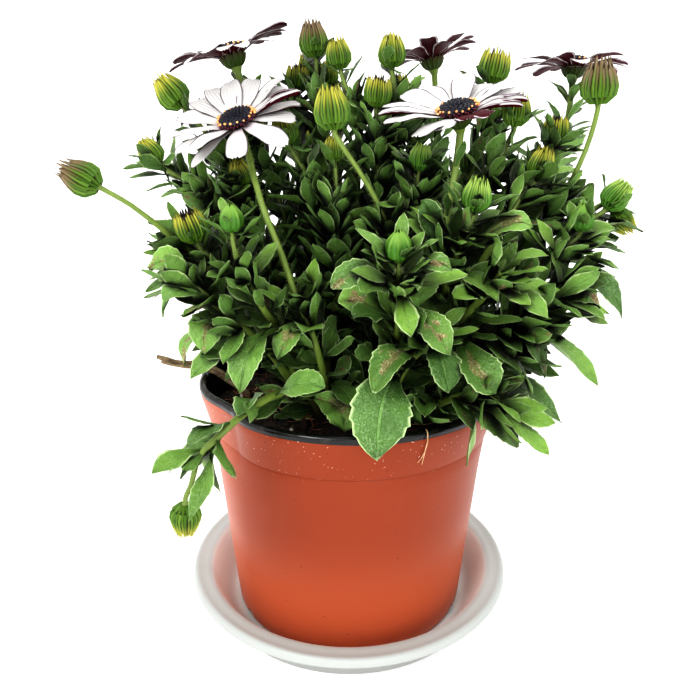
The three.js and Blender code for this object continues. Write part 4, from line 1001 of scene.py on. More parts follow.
# The template bent along a blade: root, control and tip, the width and where its face looks. Its
# halves fold up from the midrib, its edges ripple, and it may curl across and pucker.
def bentBlade(template, blade, fold, ripple, phase, twist, curl=0.0, pucker=0.0):
    x, s, h = template["points"].T
    root, control, tip = blade["root"], blade["control"], blade["tip"]
    s1 = s[:, None]
    at = root * (1 - s1) ** 2 + control * (2 * s1 * (1 - s1)) + tip * s1 ** 2
    along = (control - root) * (1 - s1) + (tip - control) * s1
    along /= np.linalg.norm(along, axis=1)[:, None]
    normal = blade["face"] - along * (along @ blade["face"])[:, None]
    normal /= np.linalg.norm(normal, axis=1)[:, None]
    side = np.cross(along, normal)
    angle = (twist * s)[:, None]
    normal, side = (normal * np.cos(angle) + side * np.sin(angle),
                    side * np.cos(angle) - normal * np.sin(angle))
    half = blade["width"] / 2
    reach = x * template["wide"] * half
    height = h * min(1, blade["width"] / 9) + fold * np.abs(reach)
    height = height + ripple * half * x ** 2 * np.sin(11 * s + phase + (x > 0) * 1.9)
    away = np.abs(x)
    creases = np.sin(away * 5.3 + phase) * np.sin(19 * s - 5 * away + phase)
    height = height + pucker * creases * (1 - x ** 4)
    if curl:
        angle = np.where(x == 0, 1e-6, curl * np.abs(x) * np.minimum(1, 0.35 + s))
        height = height - fold * np.abs(reach) + np.abs(reach) * (1 - np.cos(angle)) / angle
        reach = reach * np.sinc(angle / np.pi)
    return at + side * reach[:, None] + normal * height[:, None]


# Templates drawn out along +Z: a ridged bract, the core of a bud, a floret, the dome of a disc and
# a hair.
def barTemplate(sides, rows, lengthwise=False):
    return templateOf(drawnOut(sides, rows), lambda co: (co[0] if lengthwise else 0, co[2]))


bract = barTemplate(3, [(0, 1, 1), (0.22, 1.08, 1), (0.45, 1.1, 0.9), (0.68, 0.9, 0.8), (0.85, 0.6, 0.6),
                        (1, 0.06, 0.1)], True)
budCore = barTemplate(10, [(-1.02, 0.18, 0.18), (-0.9, 0.46, 0.46), (-0.62, 0.78, 0.78), (-0.2, 0.92, 0.92),
                           (0.25, 0.9, 0.9), (0.65, 0.74, 0.74), (0.95, 0.56, 0.56)])
bead = barTemplate(6, [(-0.9, 0.45, 0.45), (-0.2, 1, 1), (0.5, 0.8, 0.8), (0.95, 0.3, 0.3)])
dome = barTemplate(24, [(0.4, 4.8, 4.8), (1.0, 6.7, 6.7), (2.2, 7.2, 7.2), (3.2, 6.2, 6.2), (3.8, 4.4, 4.4),
                        (4.1, 1.6, 1.6)])
cupShell = barTemplate(12, [(-6.6, 1.3, 1.3), (-5.5, 2.8, 2.8), (-3.4, 4.4, 4.4), (-1.2, 5.2, 5.2)])
hair = barTemplate(3, [(-0.3, 1, 1), (1, 0.25, 0.25)])

# How the buds look. An outline gives heights and radii in shares of the bud's radius, and a ring the
# number of its bracts, their half width and depth, where they start and end, and how ragged they are.
fullOutline = [(-1.05, 0.2), (-0.92, 0.5), (-0.6, 0.85), (-0.2, 1.0), (0.2, 0.98), (0.6, 0.85), (1.0, 0.69),
               (1.3, 0.6), (1.65, 0.54)]
openOutline = [(-1.05, 0.2), (-0.92, 0.5), (-0.6, 0.85), (-0.2, 1.0), (0.2, 1.0), (0.6, 0.93), (1.0, 0.84),
               (1.3, 0.8), (1.65, 0.78)]
closedOutline = [(-1.05, 0.2), (-0.92, 0.55), (-0.6, 0.88), (-0.2, 1.0), (0.3, 0.96), (0.7, 0.8), (1.1, 0.5),
                 (1.4, 0.24), (1.6, 0.1)]
outerRing = dict(count=14, wide=0.15, deep=0.14, start=-0.98, end=1.24, ragged=0.32)
innerRing = dict(count=14, wide=0.14, deep=0.05, start=-0.6, end=1.48, ragged=0.42, turnBy=0.5)
middleRing = dict(count=6, wide=0.2, deep=0.06, start=0.5, end=1.4, ragged=0.3, inward=0.32)
budLooks = dict(
    yellow=dict(kind=0, outline=fullOutline, rings=[outerRing, innerRing, middleRing]),
    dark=dict(kind=1, outline=fullOutline, rings=[outerRing, dict(innerRing, end=1.62), middleRing]),
    open=dict(kind=0, outline=openOutline, rings=[dict(outerRing, end=1.12), dict(innerRing, end=1.22),
                                                  dict(middleRing, count=9, end=1.3, wide=0.1, kind=5)]),
    pale=dict(kind=4, outline=fullOutline,
              rings=[dict(outerRing, wide=0.13), dict(innerRing, wide=0.13), middleRing]),
    young=dict(kind=2, outline=closedOutline, rings=[
        dict(outerRing, count=7, wide=0.36, deep=0.14, end=1.3, ragged=0.1),
        dict(innerRing, count=7, wide=0.34, end=1.45, ragged=0.1)]))
cupOutline = [(-6.4, 1.2), (-5.2, 3.3), (-3.4, 4.9), (-1.6, 5.7), (0.2, 6.8)]
cupRings = [dict(count=14, wide=1.15, deep=0.5, start=-6.2, end=-0.5, ragged=0.5),
            dict(count=14, wide=1.0, deep=0.2, start=-5.6, end=0.2, ragged=0.5, turnBy=0.5)]


def frameOf(axis, hint=startAcross):
    u, v = squareTo(axis, hint)
    return np.array([u, v, axis])


# A ring of bracts stood round an axis on an outline. A ring turned inward stands inside the others.
def addRing(batch, centre, axis, size, outline, ring, kind, next):
    basis = frameOf(axis)
    heights, radii = np.array(outline).T
    x, y, s = bract["points"].T
    for n in range(ring["count"]):
        turn = 2 * math.pi * (n + ring.get("turnBy", 0) + 0.14 * (next() - 0.5)) / ring["count"]
        end = ring["end"] + ring["ragged"] * (next() - 0.5)
        z = ring["start"] + (end - ring["start"]) * s
        r = np.full(len(s), ring["inward"]) if "inward" in ring else np.interp(z, heights, radii)
        r = r + 0.16 * ring["ragged"] * (next() - 0.3) * s ** 4
        angle = turn + x * ring["wide"] / np.maximum(r, 0.15) + 0.3 * ring["ragged"] * (next() - 0.5) * s ** 3
        r = r + y * ring["deep"]
        local = np.stack([r * np.cos(angle), r * np.sin(angle), z], 1) * size
        tints = np.stack([np.full(len(s), ring.get("kind", kind)), s, np.full(len(s), next())], 1)
        addCopy(batch, bract, centre + local @ basis, tints, 2)


# A bud: its core, and rings of bracts round it.
def addBud(batch, centre, axis, size, look, next):
    core = np.array(budCore["points"])
    if look["outline"] is closedOutline:
        core[:, :2] *= 0.9
    addCopy(batch, budCore, centre + core @ frameOf(axis) * size * 0.94, (look["kind"], 0, 0.5), 3)
    for ring in look["rings"]:
        addRing(batch, centre, axis, size, look["outline"], ring, look["kind"], next)


# The green cup under a bloom.
def addCup(batch, centre, axis, next):
    addCopy(batch, cupShell, centre + cupShell["points"] @ frameOf(axis), (3, 0.2, 0.5), 2)
    for ring in cupRings:
        addRing(batch, centre, axis, 1, cupOutline, ring, 3, next)


# Short hairs all round a line of points with radii.
def addHairs(batch, path, radii, count, next):
    lengths = [np.linalg.norm(b - a) for a, b in zip(path, path[1:])]
    for n in range(count):
        place = (n + next()) / count * sum(lengths)
        k = 0
        while k < len(lengths) - 1 and place > lengths[k]:
            place -= lengths[k]
            k += 1
        share = min(1, place / lengths[k])
        axis = unit(path[k + 1] - path[k])
        u, v = squareTo(axis, startAcross)
        out = leaning(u, v, 2.4 * n + next())
        at = path[k] + (path[k + 1] - path[k]) * share + out * (radii[k] + (radii[k + 1] - radii[k]) * share)
        lean = unit(out + axis * (0.6 * next() - 0.1) + v * 0.4 * (next() - 0.5))
        size = np.diag([0.045, 0.045, 0.7 + 0.5 * next()])
        addCopy(batch, hair, at + hair["points"] @ size @ frameOf(lean, vec(0.2, 0.3, 1)), (6, 0.5, 0.5), 2)


def leafPaint():
    paint = Paint("leaf", roughness=0.42, **{"Specular IOR Level": 0.5})
    uv, v, across, under = paint.onBlade()
    away = paint.size(across)
    bright, patch, odd = paint.tint()[:3]
    cloudy = paint.noise(130, 3)
    dark = paint.mix(cloudy, (40, 73, 28), (94, 135, 56))
    plain = paint.mix(cloudy, (78, 120, 49), (146, 187, 91))
    young = paint.mix(cloudy, (126, 182, 62), (186, 226, 106))
    colour = paint.mix(bright, paint.mix(paint.ramp(odd, 0.2, 0.8), dark, plain), young)
    # Side veins run out and forward from the midrib.
    slant = paint.math("MULTIPLY_ADD", away, -0.34, v)
    veins = paint.ramp(paint.size(paint.math("SINE", paint.times(slant, 24))), 0.16, 0.0)
    net = paint.node("TexVoronoi", feature="DISTANCE_TO_EDGE")
    net.inputs["Scale"].default_value = 9
    paint.put(paint.stretched(uv, (1, 2.6, 1)), net.inputs["Vector"])
    mesh = paint.ramp(net.outputs[0], 0.12, 0.0)
    lines = paint.math("MAXIMUM", paint.ramp(away, 0.075, 0.03), paint.times(veins, 0.5))
    paleVein = paint.mix(bright, (130, 170, 96), (190, 226, 124))
    colour = paint.over(colour, lines, 0.6, paleVein)
    colour = paint.over(colour, mesh, 0.16, paleVein)
    edge = paint.math("MAXIMUM", paint.ramp(away, 0.82, 0.93), paint.ramp(v, 0.975, 0.99))
    colour = paint.over(colour, edge, 0.85, (198, 220, 160))
    # Pale grains stand for the leaves' hairs and dust, and also paint the granular sheen of their waxy
    # surface.
    grains = paint.ramp(paint.noise(1300, 3, 0.6), 0.48, 0.64)
    dustAndSheen = paint.math("MULTIPLY_ADD", paint.ramp(paint.noise(90, 2), 0.4, 0.65), 0.36, 0.08)
    colour = paint.over(colour, grains, dustAndSheen, (168, 194, 148))
    colour = paint.over(colour, under, 0.45, (108, 146, 84))
    # Dry patches along the midrib of some leaves.
    blot = paint.noise(170, 4, 0.6)
    near = paint.math("MULTIPLY_ADD", away, -0.28, blot)
    dry = paint.times(paint.ramp(near, 0.42, 0.5), paint.ramp(patch, 0.3, 0.6))
    tan = paint.mix(grains, (146, 122, 84), (206, 188, 158))
    colour = paint.over(colour, dry, 0.85, tan)
    heights = paint.math("ADD", paint.times(lines, -0.8), paint.times(mesh, -0.35))
    normal = paint.bump(heights, 0.0006, 0.8, paint.bump(paint.noise(480, 4, 0.6), 0.001, 0.7))
    rough = paint.math("MULTIPLY_ADD", dry, 0.3, 0.34)
    # Painted shade darkens the leaves in the gaps of the crowded foliage.
    return paint.done(paint.paintedGapShade(colour, 0.011, (2, 4, 2), 0.3, 0.85), normal, rough)


def stemPaint():
    paint = Paint("stem", roughness=0.5)
    x, y, z = paint.split(paint.place())
    streak = paint.noise(420, 3, stretch=(1, 1, 0.12))
    colour = paint.mix(streak, (90, 112, 42), (134, 154, 76))
    woody = paint.times(paint.ramp(z, 0.135, 0.108), paint.ramp(paint.reach(x, y), 0.066, 0.056))
    colour = paint.mix(woody, colour, (92, 84, 48))
    # Painted shade darkens the stems where leaves crowd round them.
    return paint.done(paint.paintedGapShade(colour, 0.009, (10, 14, 6), 0.1, 0.6), paint.bump(streak, 0.0003, 0.6))


# Kinds: 0 yellow, 1 dark crown, 2 young green, 3 the cup of a bloom, 4 pale green, 5 dark petal tips,
# 6 hairs.
def bractPaint():
    paint = Paint("bract", roughness=0.5, **{"Specular IOR Level": 0.3})
    kind, along, odd = paint.tint()[:3]
    isDark, isYoung, isCup, isPale, isTip, isHair = (paint.math("COMPARE", kind, n, 0.3) for n in range(1, 7))
    low = paint.mix(odd, (70, 104, 34), (106, 138, 52))
    high = paint.mix(odd, (134, 138, 50), (184, 180, 76))
    high = paint.mix(isDark, high, paint.mix(odd, (118, 100, 70), (160, 144, 108)))
    high = paint.mix(isYoung, high, (116, 152, 66))
    # The cup's colours are dark: its own dark green-brown, darkened further as painted shade for the shade
    # under the bloom.
    high = paint.mix(isCup, high, (70, 66, 36))
    high = paint.mix(isPale, high, (148, 174, 88))
    low = paint.mix(isYoung, low, (76, 120, 44))
    low = paint.mix(isCup, low, (64, 84, 34))
    low = paint.mix(isPale, low, (90, 134, 52))
    colour = paint.mix(paint.ramp(along, 0.4, 0.85), low, high)
    u = paint.split(paint.node("UVMap", uv_map="leafMap").outputs[0])[0]
    # Painted shade: each bract is darker towards its sides, where the bracts overlap, less on young and pale
    # buds and none at its very base.
    side = paint.ramp(paint.size(u), 0.3, 0.8)
    soft = paint.math("MAXIMUM", isYoung, paint.times(isPale, 0.6))
    bractGapShade = paint.times(side, paint.math("SUBTRACT", 0.95, paint.times(soft, 0.6)))
    bractGapShade = paint.times(bractGapShade, paint.ramp(along, 0.05, 0.35))
    colour = paint.mix(bractGapShade, colour, (50, 42, 14))
    last = paint.ramp(along, 0.88, 0.98)
    browned = paint.times(last, paint.math("SUBTRACT", 0.75, soft))
    colour = paint.mix(paint.math("MAXIMUM", browned, 0), colour, (84, 62, 26))
    darkest = paint.math("MAXIMUM", paint.times(last, isDark), isTip)
    colour = paint.mix(darkest, colour, (34, 20, 24))
    brown = paint.times(paint.ramp(along, 0.3, 0.7), paint.times(isDark, 0.45))
    colour = paint.mix(brown, colour, (90, 70, 54))
    # Painted shade darkens the bracts in the gaps between them.
    colour = paint.paintedGapShade(colour, 0.003, (22, 22, 8), 0.05, 0.5)
    colour = paint.mix(isHair, colour, (206, 216, 168))
    return paint.done(colour, paint.bump(paint.noise(700, 2), 0.0002, 0.4))


corePaint = plainPaint("bud core", (40, 34, 16), (66, 56, 22), 0.7, 500)
foliageMaterials = [leafPaint(), stemPaint(), bractPaint(), corePaint]


stem = dict(rootR=2.2, tipR=1.25, pieces=4, cuts=10, forkAt=0.34, budR=1.0, bloomR=1.3, neck=8.5, sunk=8)
leafy = dict(start=0.43, end=0.99, goldenAngle=137.5, domeR=80, small=25, tries=7, narrow=0.84)
extra = dict(leaves=32, start=0.14, end=0.98, rosette=7, stalk=9, rimR=60, rimZ=122, bloomHairs=260,
             budHairs=120)
heads = []  # the middle and reach of each bud and bloom, which leaves keep clear of


# The leaf of one number on a shoot, at one of its places to try. Leaves stand in three rows.
def leafOn(shoot, number, seed, attempt):
    next = draws(seed * 1009 + number * 31 + attempt * 7)
    start = shoot.get("start", leafy["start"])
    share = (number + 0.5) / shoot["leaves"]
    station = stationAt(shoot["line"], start + (leafy["end"] - start) * share)
    root, axis = station["centre"], station["axis"]
    loose = 0.5 + 0.35 * attempt
    golden = leafy["goldenAngle"] * number + seed * 40 + 90 * loose * (next() - 0.5)
    turn = math.radians(120 * (math.floor(golden / 120 + 0.5) + 0.5) + 36 * (next() - 0.5))
    spread = math.radians(70 - 36 * share + 22 * loose * (next() - 0.5))
    out = leaning(station["u"], station["v"], turn)
    outward = vec(root[0], root[1], 0) / leafy["domeR"]
    lead = leaning(axis, out, spread)
    length = shoot["length"] * (1.12 - 0.35 * share) * (0.85 + 0.3 * next())
    width = length * (0.4 + 0.1 * next())
    droop = length * (0.12 + 0.45 * np.linalg.norm(outward)) * (1 - 0.7 * share) * (0.5 + next())
    heading = unit(lead + outward * 0.6 + up * 0.15)
    control = root + lead * length * 0.48
    tip = root + heading * length * 0.97 - up * droop
    face = axis * 0.4 + up * 0.8 + outward * (0.3 + 0.3 * next())
    return dict(root=root, control=control, tip=tip, face=face, width=width, length=length, share=share)


# A narrower leaf that stands up from a shoot, between those that the CAD carries.
def standingLeaf(shoot, number, seed):
    next = draws(seed * 631 + number * 47)
    next()
    share = (number + next()) / extra["leaves"]
    station = stationAt(shoot["line"], extra["start"] + (extra["end"] - extra["start"]) * share)
    root, axis = station["centre"], station["axis"]
    turn = math.radians(leafy["goldenAngle"] * number + 50 * next())
    spread = math.radians(60 - 26 * share + 34 * (next() - 0.5))
    out = leaning(station["u"], station["v"], turn)
    outward = vec(root[0], root[1], 0) / leafy["domeR"]
    lead = leaning(axis, out, spread)
    length = shoot["length"] * (0.98 - 0.24 * share) * (0.75 + 0.35 * next())
    heading = unit(lead + outward * 0.35 + up * 0.3 * (next() + 0.2))
    width = length * (0.25 + 0.13 * next())
    return dict(root=root, control=root + lead * length * 0.5, tip=root + heading * length, width=width,
                face=axis * 0.6 + up * 0.3 - out * 0.35 + outward * 0.4, length=length, share=share)


# The point of a plant's shoots that is nearest to a place.
def nearestStem(plant, place):
    along = [stationAt(shoot["line"], k / 40)["centre"] for shoot in plant["shoots"] for k in range(41)]
    return min(along, key=lambda p: np.linalg.norm(p - place))


# Every point of a plant's CAD node, to find which try of each leaf found room there.
def pointTree(node):
    data = nodes[node].data
    tree = kdtree.KDTree(len(data.vertices))
    for n, vertex in enumerate(data.vertices):
        tree.insert(vertex.co, n)
    tree.balance()
    return tree


# Whether the CAD node has a point at a leaf's tip.
def isThere(tree, tip):
    return tree.find(Vector(tip) * mm)[2] < 0.05 * mm


bloomsByName = {bloom["name"]: bloom for bloom in blooms}
for bloom in blooms:
    bloom["axis"] = unit(vec(bloom["tilt"]))
    bloom["centre"] = vec(bloom["centre"])


# One shoot's own line, and the points and radii of its tube from the root to the bud or bloom.
def layShoot(shoot, begin):
    points = begin + [vec(p) for p in shoot["points"]]
    shoot["line"] = line = stations(points, stem["pieces"])
    cuts = stem["cuts"]
    path = [spinePoint(points, k / cuts) for k in range(cuts + 1)]
    radii = [stem["rootR"] + (stem["tipR"] - stem["rootR"]) * k / cuts for k in range(cuts + 1)]
    shoot["end"] = end = shoot.get("bud") or shoot.get("bloom")
    if not end:
        return path, radii
    bends = [vec(p) for p in end["stalk"]]
    path += bends
    if "bloom" in shoot:
        bloom, r = bloomsByName[end["name"]], stem["bloomR"]
        axis = bloom["axis"]
        neck = bloom["centre"] - axis * stem["neck"]
        path += [neck, neck + axis * 2.6]
        radii += [r] * len(bends) + [r * 1.15, r * 2]
        heads.append((bloom["centre"], 13))
    else:
        r, size = stem["budR"], end["size"]
        axis = end["axis"] = unit(vec(end["facing"]))
        last = bends[-1] if bends else line[-1]["centre"] + line[-1]["axis"] * 2
        neck = last + axis * 1.5
        path += [neck, neck + axis * 0.12 * size]
        radii += [r] * len(bends) + [r * 1.1, r * 1.6]
        end["at"] = neck + axis * 1.05 * size
        heads.append((end["at"], 1.7 * size))
    return path, radii


# Adds a bent leaf, which is brighter or duller and may have a dry patch.
def addLeaf(batch, shape, leaf, seed, bright, patch=0.0):
    next = draws(seed)
    next()
    points = bentBlade(shape, leaf, fold=0.08 + 0.16 * next(), ripple=0.08 + 0.12 * next(),
                       phase=6.3 * next(), twist=0.9 * (next() - 0.5),
                       pucker=0.35 if shape is fineBlade else 0.0)
    addCopy(batch, shape, points, (bright, patch, next()), 0)


def addLargeLeaves(batch, plant):
    for n, (name, *places, width, face) in enumerate(largeLeaves):
        if name != plant["name"]:
            continue
        root, middle, tip = (vec(place) for place in places)
        root = nearestStem(plant, root)
        leaf = dict(root=root, control=2 * middle - 0.5 * root - 0.5 * tip, tip=tip, face=vec(face),
                    width=width * 1.08)
        addLeaf(batch, fineBlade, leaf, 900 + n, 0.12 * (n % 3), (n % 3) / 2)


# The leaves that the CAD carries, each in the first of its places that is found there.
def addCadLeaves(batch, plant, shoot, number, tree):
    missed = 0
    for n in range(shoot["leaves"]):
        found = (leafOn(shoot, n, number, attempt) for attempt in range(leafy["tries"]))
        leaf = next((one for one in found if isThere(tree, one["tip"])), None)
        if leaf is None:
            missed += 1
            continue
        draw = draws(number * 97 + n)
        draw()
        patch = 1.0 if draw() < 0.12 and leaf["share"] < 0.7 else 0.0
        leaf["width"] *= leafy["narrow"]
        shape = toothedBlade if leaf["length"] > leafy["small"] else plainBlade
        bright = 0.5 * leaf["share"] ** 2 + 0.3 * draw() ** 2
        addLeaf(batch, shape, leaf, number * 131 + n, bright, patch)
    return missed


# Whether a leaf's tip stays out of the buds and blooms.
def isClear(tip):
    return all(np.linalg.norm(tip - centre) > reach for centre, reach in heads)


def addStandingLeaves(batch, shoot, number, everyNth):
    for n in range(0, extra["leaves"], everyNth):
        leaf = standingLeaf(shoot, n, number)
        low = leaf["tip"][2] < extra["rimZ"] and math.hypot(*leaf["tip"][:2]) > extra["rimR"]
        if low or not isClear(leaf["tip"]):
            continue
        draw = draws(number * 53 + n + 7000)
        draw()
        patch = 1.0 if draw() < 0.1 else 0.0
        bright = 0.55 * leaf["share"] ** 2 + 0.4 * draw() ** 2
        addLeaf(batch, plainBlade, leaf, number * 211 + n + 5000, bright, patch)


# Young leaves stand up round a shoot's tip.
def addRosette(batch, shoot, number):
    tip = shoot["line"][-1]
    draw = draws(number * 17 + 3)
    for n in range(extra["rosette"]):
        turn = math.radians(leafy["goldenAngle"] * n + 360 * draw())
        spread = math.radians(20 + 8 * n + 14 * draw())
        out = leaning(tip["u"], tip["v"], turn)
        lead = leaning(tip["axis"], out, spread)
        length = (0.42 + 0.09 * n) * shoot["length"] * (0.8 + 0.3 * draw())
        root = tip["centre"] - tip["axis"] * (1.0 + 1.3 * n)
        end = root + unit(lead + out * 0.3) * length
        if isClear(end):
            leaf = dict(root=root, control=root + lead * length * 0.5, width=length * 0.38, tip=end,
                        face=tip["axis"] - out * 0.2)
            addLeaf(batch, youngBlade, leaf, number * 71 + n + 9000, 0.45 + 0.5 * draw())


# Small leaves up the lower part of a bud's stalk.
def addStalkLeaves(batch, shoot, number, count):
    steps = 6
    path = [spinePoint(shoot["path"][0][stem["cuts"]:], k / 10) for k in range(steps + 1)]
    draw = draws(number * 23 + 9)
    for n in range(count):
        share = (n + draw()) / count
        k = min(int(share * steps), steps - 1)
        axis = unit(path[k + 1] - path[k])
        root = path[k] + (path[k + 1] - path[k]) * (share * steps - k)
        turn = math.radians(leafy["goldenAngle"] * n + 60 * draw())
        spread = math.radians(26 + 26 * draw())
        u, v = squareTo(axis, startAcross)
        out = leaning(u, v, turn)
        lead = leaning(axis, out, spread)
        length = (0.78 - 0.3 * share) * shoot["length"] * (0.75 + 0.35 * draw())
        tip = root + unit(lead + out * 0.25) * length
        if isClear(tip):
            leaf = dict(root=root, control=root + lead * length * 0.5, width=length * (0.26 + 0.12 * draw()),
                        tip=tip, face=axis - out * 0.1)
            shape = youngBlade if n % 3 else plainBlade
            addLeaf(batch, shape, leaf, number * 73 + n + 9500, 0.15 + 0.5 * draw())


# A bud that hangs over at the right, on a stalk from a leafy tip.
sideBud = dict(plant="right_far", at=vec(115.5, -20, 197.5), axis=unit(vec(0.72, -0.1, -0.69)), size=4.8,
               stalk=[vec(99, -23, 196), vec(104, -19, 202), vec(109, -19, 204)])


# Adds that bud to its plant, and gives the line of its stalk.
def addSideBud(batch, plant):
    if plant["name"] != sideBud["plant"]:
        return []
    at, axis, size, stalk = (sideBud[key] for key in ("at", "axis", "size", "stalk"))
    addBud(batch, at, axis, size, budLooks["yellow"], draws(3001))
    path = [nearestStem(plant, stalk[0])] + stalk + [at - axis * size * 1.2, at - axis * size]
    return [(path, [1.3, 1.2, 1.1, 1.0, 1.1, 1.6])]


# A bud with its bracts, or the cup under a bloom, and the hairs of the stalk.
def addHead(batch, shoot, draw):
    if "bud" in shoot:
        bud = shoot["bud"]
        addBud(batch, bud["at"], bud["axis"], bud["size"], budLooks[bud.get("look", "yellow")], draw)
    else:
        bloom = bloomsByName[shoot["bloom"]["name"]]
        addCup(batch, bloom["centre"], bloom["axis"], draw)
    path, radii = (part[stem["cuts"]:] for part in shoot["path"])
    addHairs(batch, path, radii, extra["budHairs" if "bud" in shoot else "bloomHairs"], draw)


def makePlant(plant, firstShoot):
    name, node = "leafy_" + plant["name"], "stems_" + plant["name"]
    batch = newBatch()
    tree = pointTree(node)
    addLargeLeaves(batch, plant)
    missed = 0
    for number, shoot in enumerate(plant["shoots"], firstShoot):
        missed += addCadLeaves(batch, plant, shoot, number, tree)
        for layer in range(plant.get("layers", 1)):
            addStandingLeaves(batch, shoot, number + 300 * layer, plant.get("everyNth", 1))
        addRosette(batch, shoot, number)
        if shoot["end"] and len(shoot["end"]["stalk"]) == 1:
            addStalkLeaves(batch, shoot, number, extra["stalk"] * (2 if plant["root"][1] > 5 else 1))
        if shoot["end"]:
            addHead(batch, shoot, draws(number * 11 + 5))
    tube = tubes([shoot["path"] for shoot in plant["shoots"]] + addSideBud(batch, plant), 2, 3)
    for material in foliageMaterials:
        tube.data.materials.append(material)
    tube.data.polygons.foreach_set("material_index", [1] * len(tube.data.polygons))
    thing = batchObject(batch, foliageMaterials, 50)
    activate(thing)
    tube.select_set(True)
    bpy.ops.object.join()
    finished(thing, name, "foliage", node)
    print(name, len(thing.data.polygons), "missed", missed, flush=True)


for plant in plants:
    x, y = plant["root"]
    main, *branches = plant["shoots"]
    foot = vec(x, y, soilTop(x, y) - stem["sunk"])
    main["path"] = layShoot(main, [foot, vec(x, y, soilTop(x, y) + 2)])
    for branch in branches:
        branch["path"] = layShoot(branch, [stationAt(main["line"], stem["forkAt"])["centre"]])

firstShoot = 1
for plant in plants:
    makePlant(plant, firstShoot)
    firstShoot += len(plant["shoots"])


disc = dict(ringR=5.8, inset=1.2, sunk=0.7, florets=150, turnEach=137.508, domeZ=0.9, domeHigh=2.9,
            domeWide=7.1, ring=17, clump=9, clumpWide=28)


def petalPaint():
    paint = Paint("petal", roughness=0.5, **{"Specular IOR Level": 0.12})
    _, v, across, under = paint.onBlade()
    away = paint.size(across)
    lines = paint.size(paint.math("SINE", paint.times(across, 10)))
    streak = paint.noise(260, 3, stretch=(1, 1, 0.5))
    edge = paint.ramp(away, 0.88, 0.94)
    top = paint.mix(streak, (208, 206, 203), (198, 196, 195))
    # Painted shade: the base of each petal is tinted pinkish grey, for the warm shade round the disc.
    top = paint.over(top, paint.ramp(v, 0.3, 0.0), 0.55, (196, 164, 178))
    top = paint.over(top, paint.ramp(lines, 0.12, 0.0), 0.2, (190, 186, 196))
    top = paint.over(top, edge, 0.85, (70, 52, 64))
    # Painted shade darkens the petals where they overlap and crowd.
    top = paint.paintedGapShade(top, 0.003, (60, 44, 56), 0.0, 0.4)
    dark = paint.mix(streak, (42, 0, 11), (92, 12, 30))
    margin = paint.math("ADD", away, paint.times(paint.math("SUBTRACT", streak, 0.5), 0.25))
    low = paint.mix(paint.ramp(margin, 0.78, 0.92), dark, (240, 234, 238))
    low = paint.over(low, edge, 0.8, (74, 34, 52))
    colour = paint.mix(under, top, low)
    return paint.done(colour, paint.bump(lines, 0.0003, 0.5))


petalMaterial = petalPaint()
discMaterials = [plainPaint("disc", (9, 8, 16), (26, 24, 44), 0.45, 900),
                 plainPaint("pollen", (232, 146, 76), (250, 208, 148), 0.6, 900),
                 plainPaint("outer floret", (56, 14, 30), (104, 40, 56), 0.5, 900)]


# A petal's tip and its look.
def ray(*tip, **look):
    return dict(look, tip=tip)


# The petals of three blooms, each by its tip as seen from the middle of the disc. Some are
# rolled along their length, and two short ones lie face down.
posed = dict(
    front_left=[
        ray(2, -23, -13, wide=0.98, curl=-0.35), ray(21, -18, -9, wide=1.08, curl=0.5),
        ray(24, 3, 1, wide=0.95, curl=0.2), ray(26, 8, 6, wide=0.85, curl=0.9),
        ray(26, 8, 11, wide=0.95, curl=2.4), ray(20, 15, 13, wide=0.8, curl=0.7),
        ray(17, 18, 17, wide=0.8, curl=0.6), ray(5, 21, 17, wide=1, curl=0.3),
        ray(-6, 22, 16, wide=1, curl=0.2), ray(-14, 21, 13, wide=1, curl=0.2),
        ray(-21, 18, 8, wide=1.05, curl=0.2), ray(-27, 9, 1, wide=1.1, curl=0.3),
        ray(-26, -8, -6, wide=0.8, curl=0.3), ray(-23, -15, -12, wide=0.85, curl=0.3),
        ray(-15, -21, -10, wide=0.8, curl=0.5), ray(-16, -19, -17, wide=0.75, curl=0.2)],
    front_right=[
        ray(-12, 24, 9, wide=1.1, curl=0.2), ray(-20, 20, 7, wide=1.1, curl=0.2),
        ray(-29, 9, 2, wide=0.85, curl=0.4), ray(-31, -2, -1, wide=0.75, curl=1.3),
        ray(-29, -9, -4, wide=0.8, curl=0.4), ray(-25, -14, -3, wide=0.9, curl=0.3),
        ray(-18, -20, -8, wide=1.1, curl=-0.2), ray(-9, -17, -6, wide=1, curl=-0.2),
        ray(2, -15, -2, wide=1, curl=0.3, faceDown=True),
        ray(10, -17, 0, wide=0.8, curl=0.4, faceDown=True),
        ray(24, -5, 2, wide=0.8, curl=2.2), ray(28, 5, 4, wide=0.9, curl=2.3),
        ray(27, 12, 8, wide=0.8, curl=0.6), ray(24, 17, 12, wide=0.95, curl=0.3),
        ray(15, 22, 11, wide=1, curl=0.2), ray(6, 24, 15, wide=1.05, curl=0.2),
        ray(-3, 26, 11, wide=1.05, curl=0.2)],
    back_left=[
        ray(-27, -6, -8, wide=0.9), ray(-27, 3, -4, wide=0.9), ray(-16, -21, -5, wide=1.1),
        ray(-7, -25, -1, wide=0.9), ray(1, -26, 0, wide=0.9), ray(9, -25, 1, wide=0.9),
        ray(20, -17, 4), ray(25, -7, 9, wide=0.9), ray(25, 2, 12, wide=1.05),
        ray(21, 15, 9), ray(13, 22, 7), ray(3, 25, 6), ray(-8, 25, 4),
        ray(-17, 20, 1), ray(-24, 12, -2)])


# The petals of the other blooms, by a rule.
def evenRays(bloom, draw):
    u, v = squareTo(bloom["axis"], vec(0.3, -1, 0.2))
    for i in range(bloom["petals"]):
        angle = 2 * math.pi * (i + 0.16 * (draw() - 0.5)) / bloom["petals"]
        out = leaning(u, v, angle)
        lift = math.radians(bloom["lift"] + (5 if i % 2 else -5) + 4 * (draw() - 0.5))
        length = bloom["reach"] * (0.94 + 0.1 * draw()) - disc["ringR"]
        along = leaning(out, bloom["axis"], lift)
        yield dict(tip=out * (disc["ringR"] - disc["inset"]) - bloom["axis"] * (disc["sunk"] + bloom["sag"])
                   + along * (length + disc["inset"]))


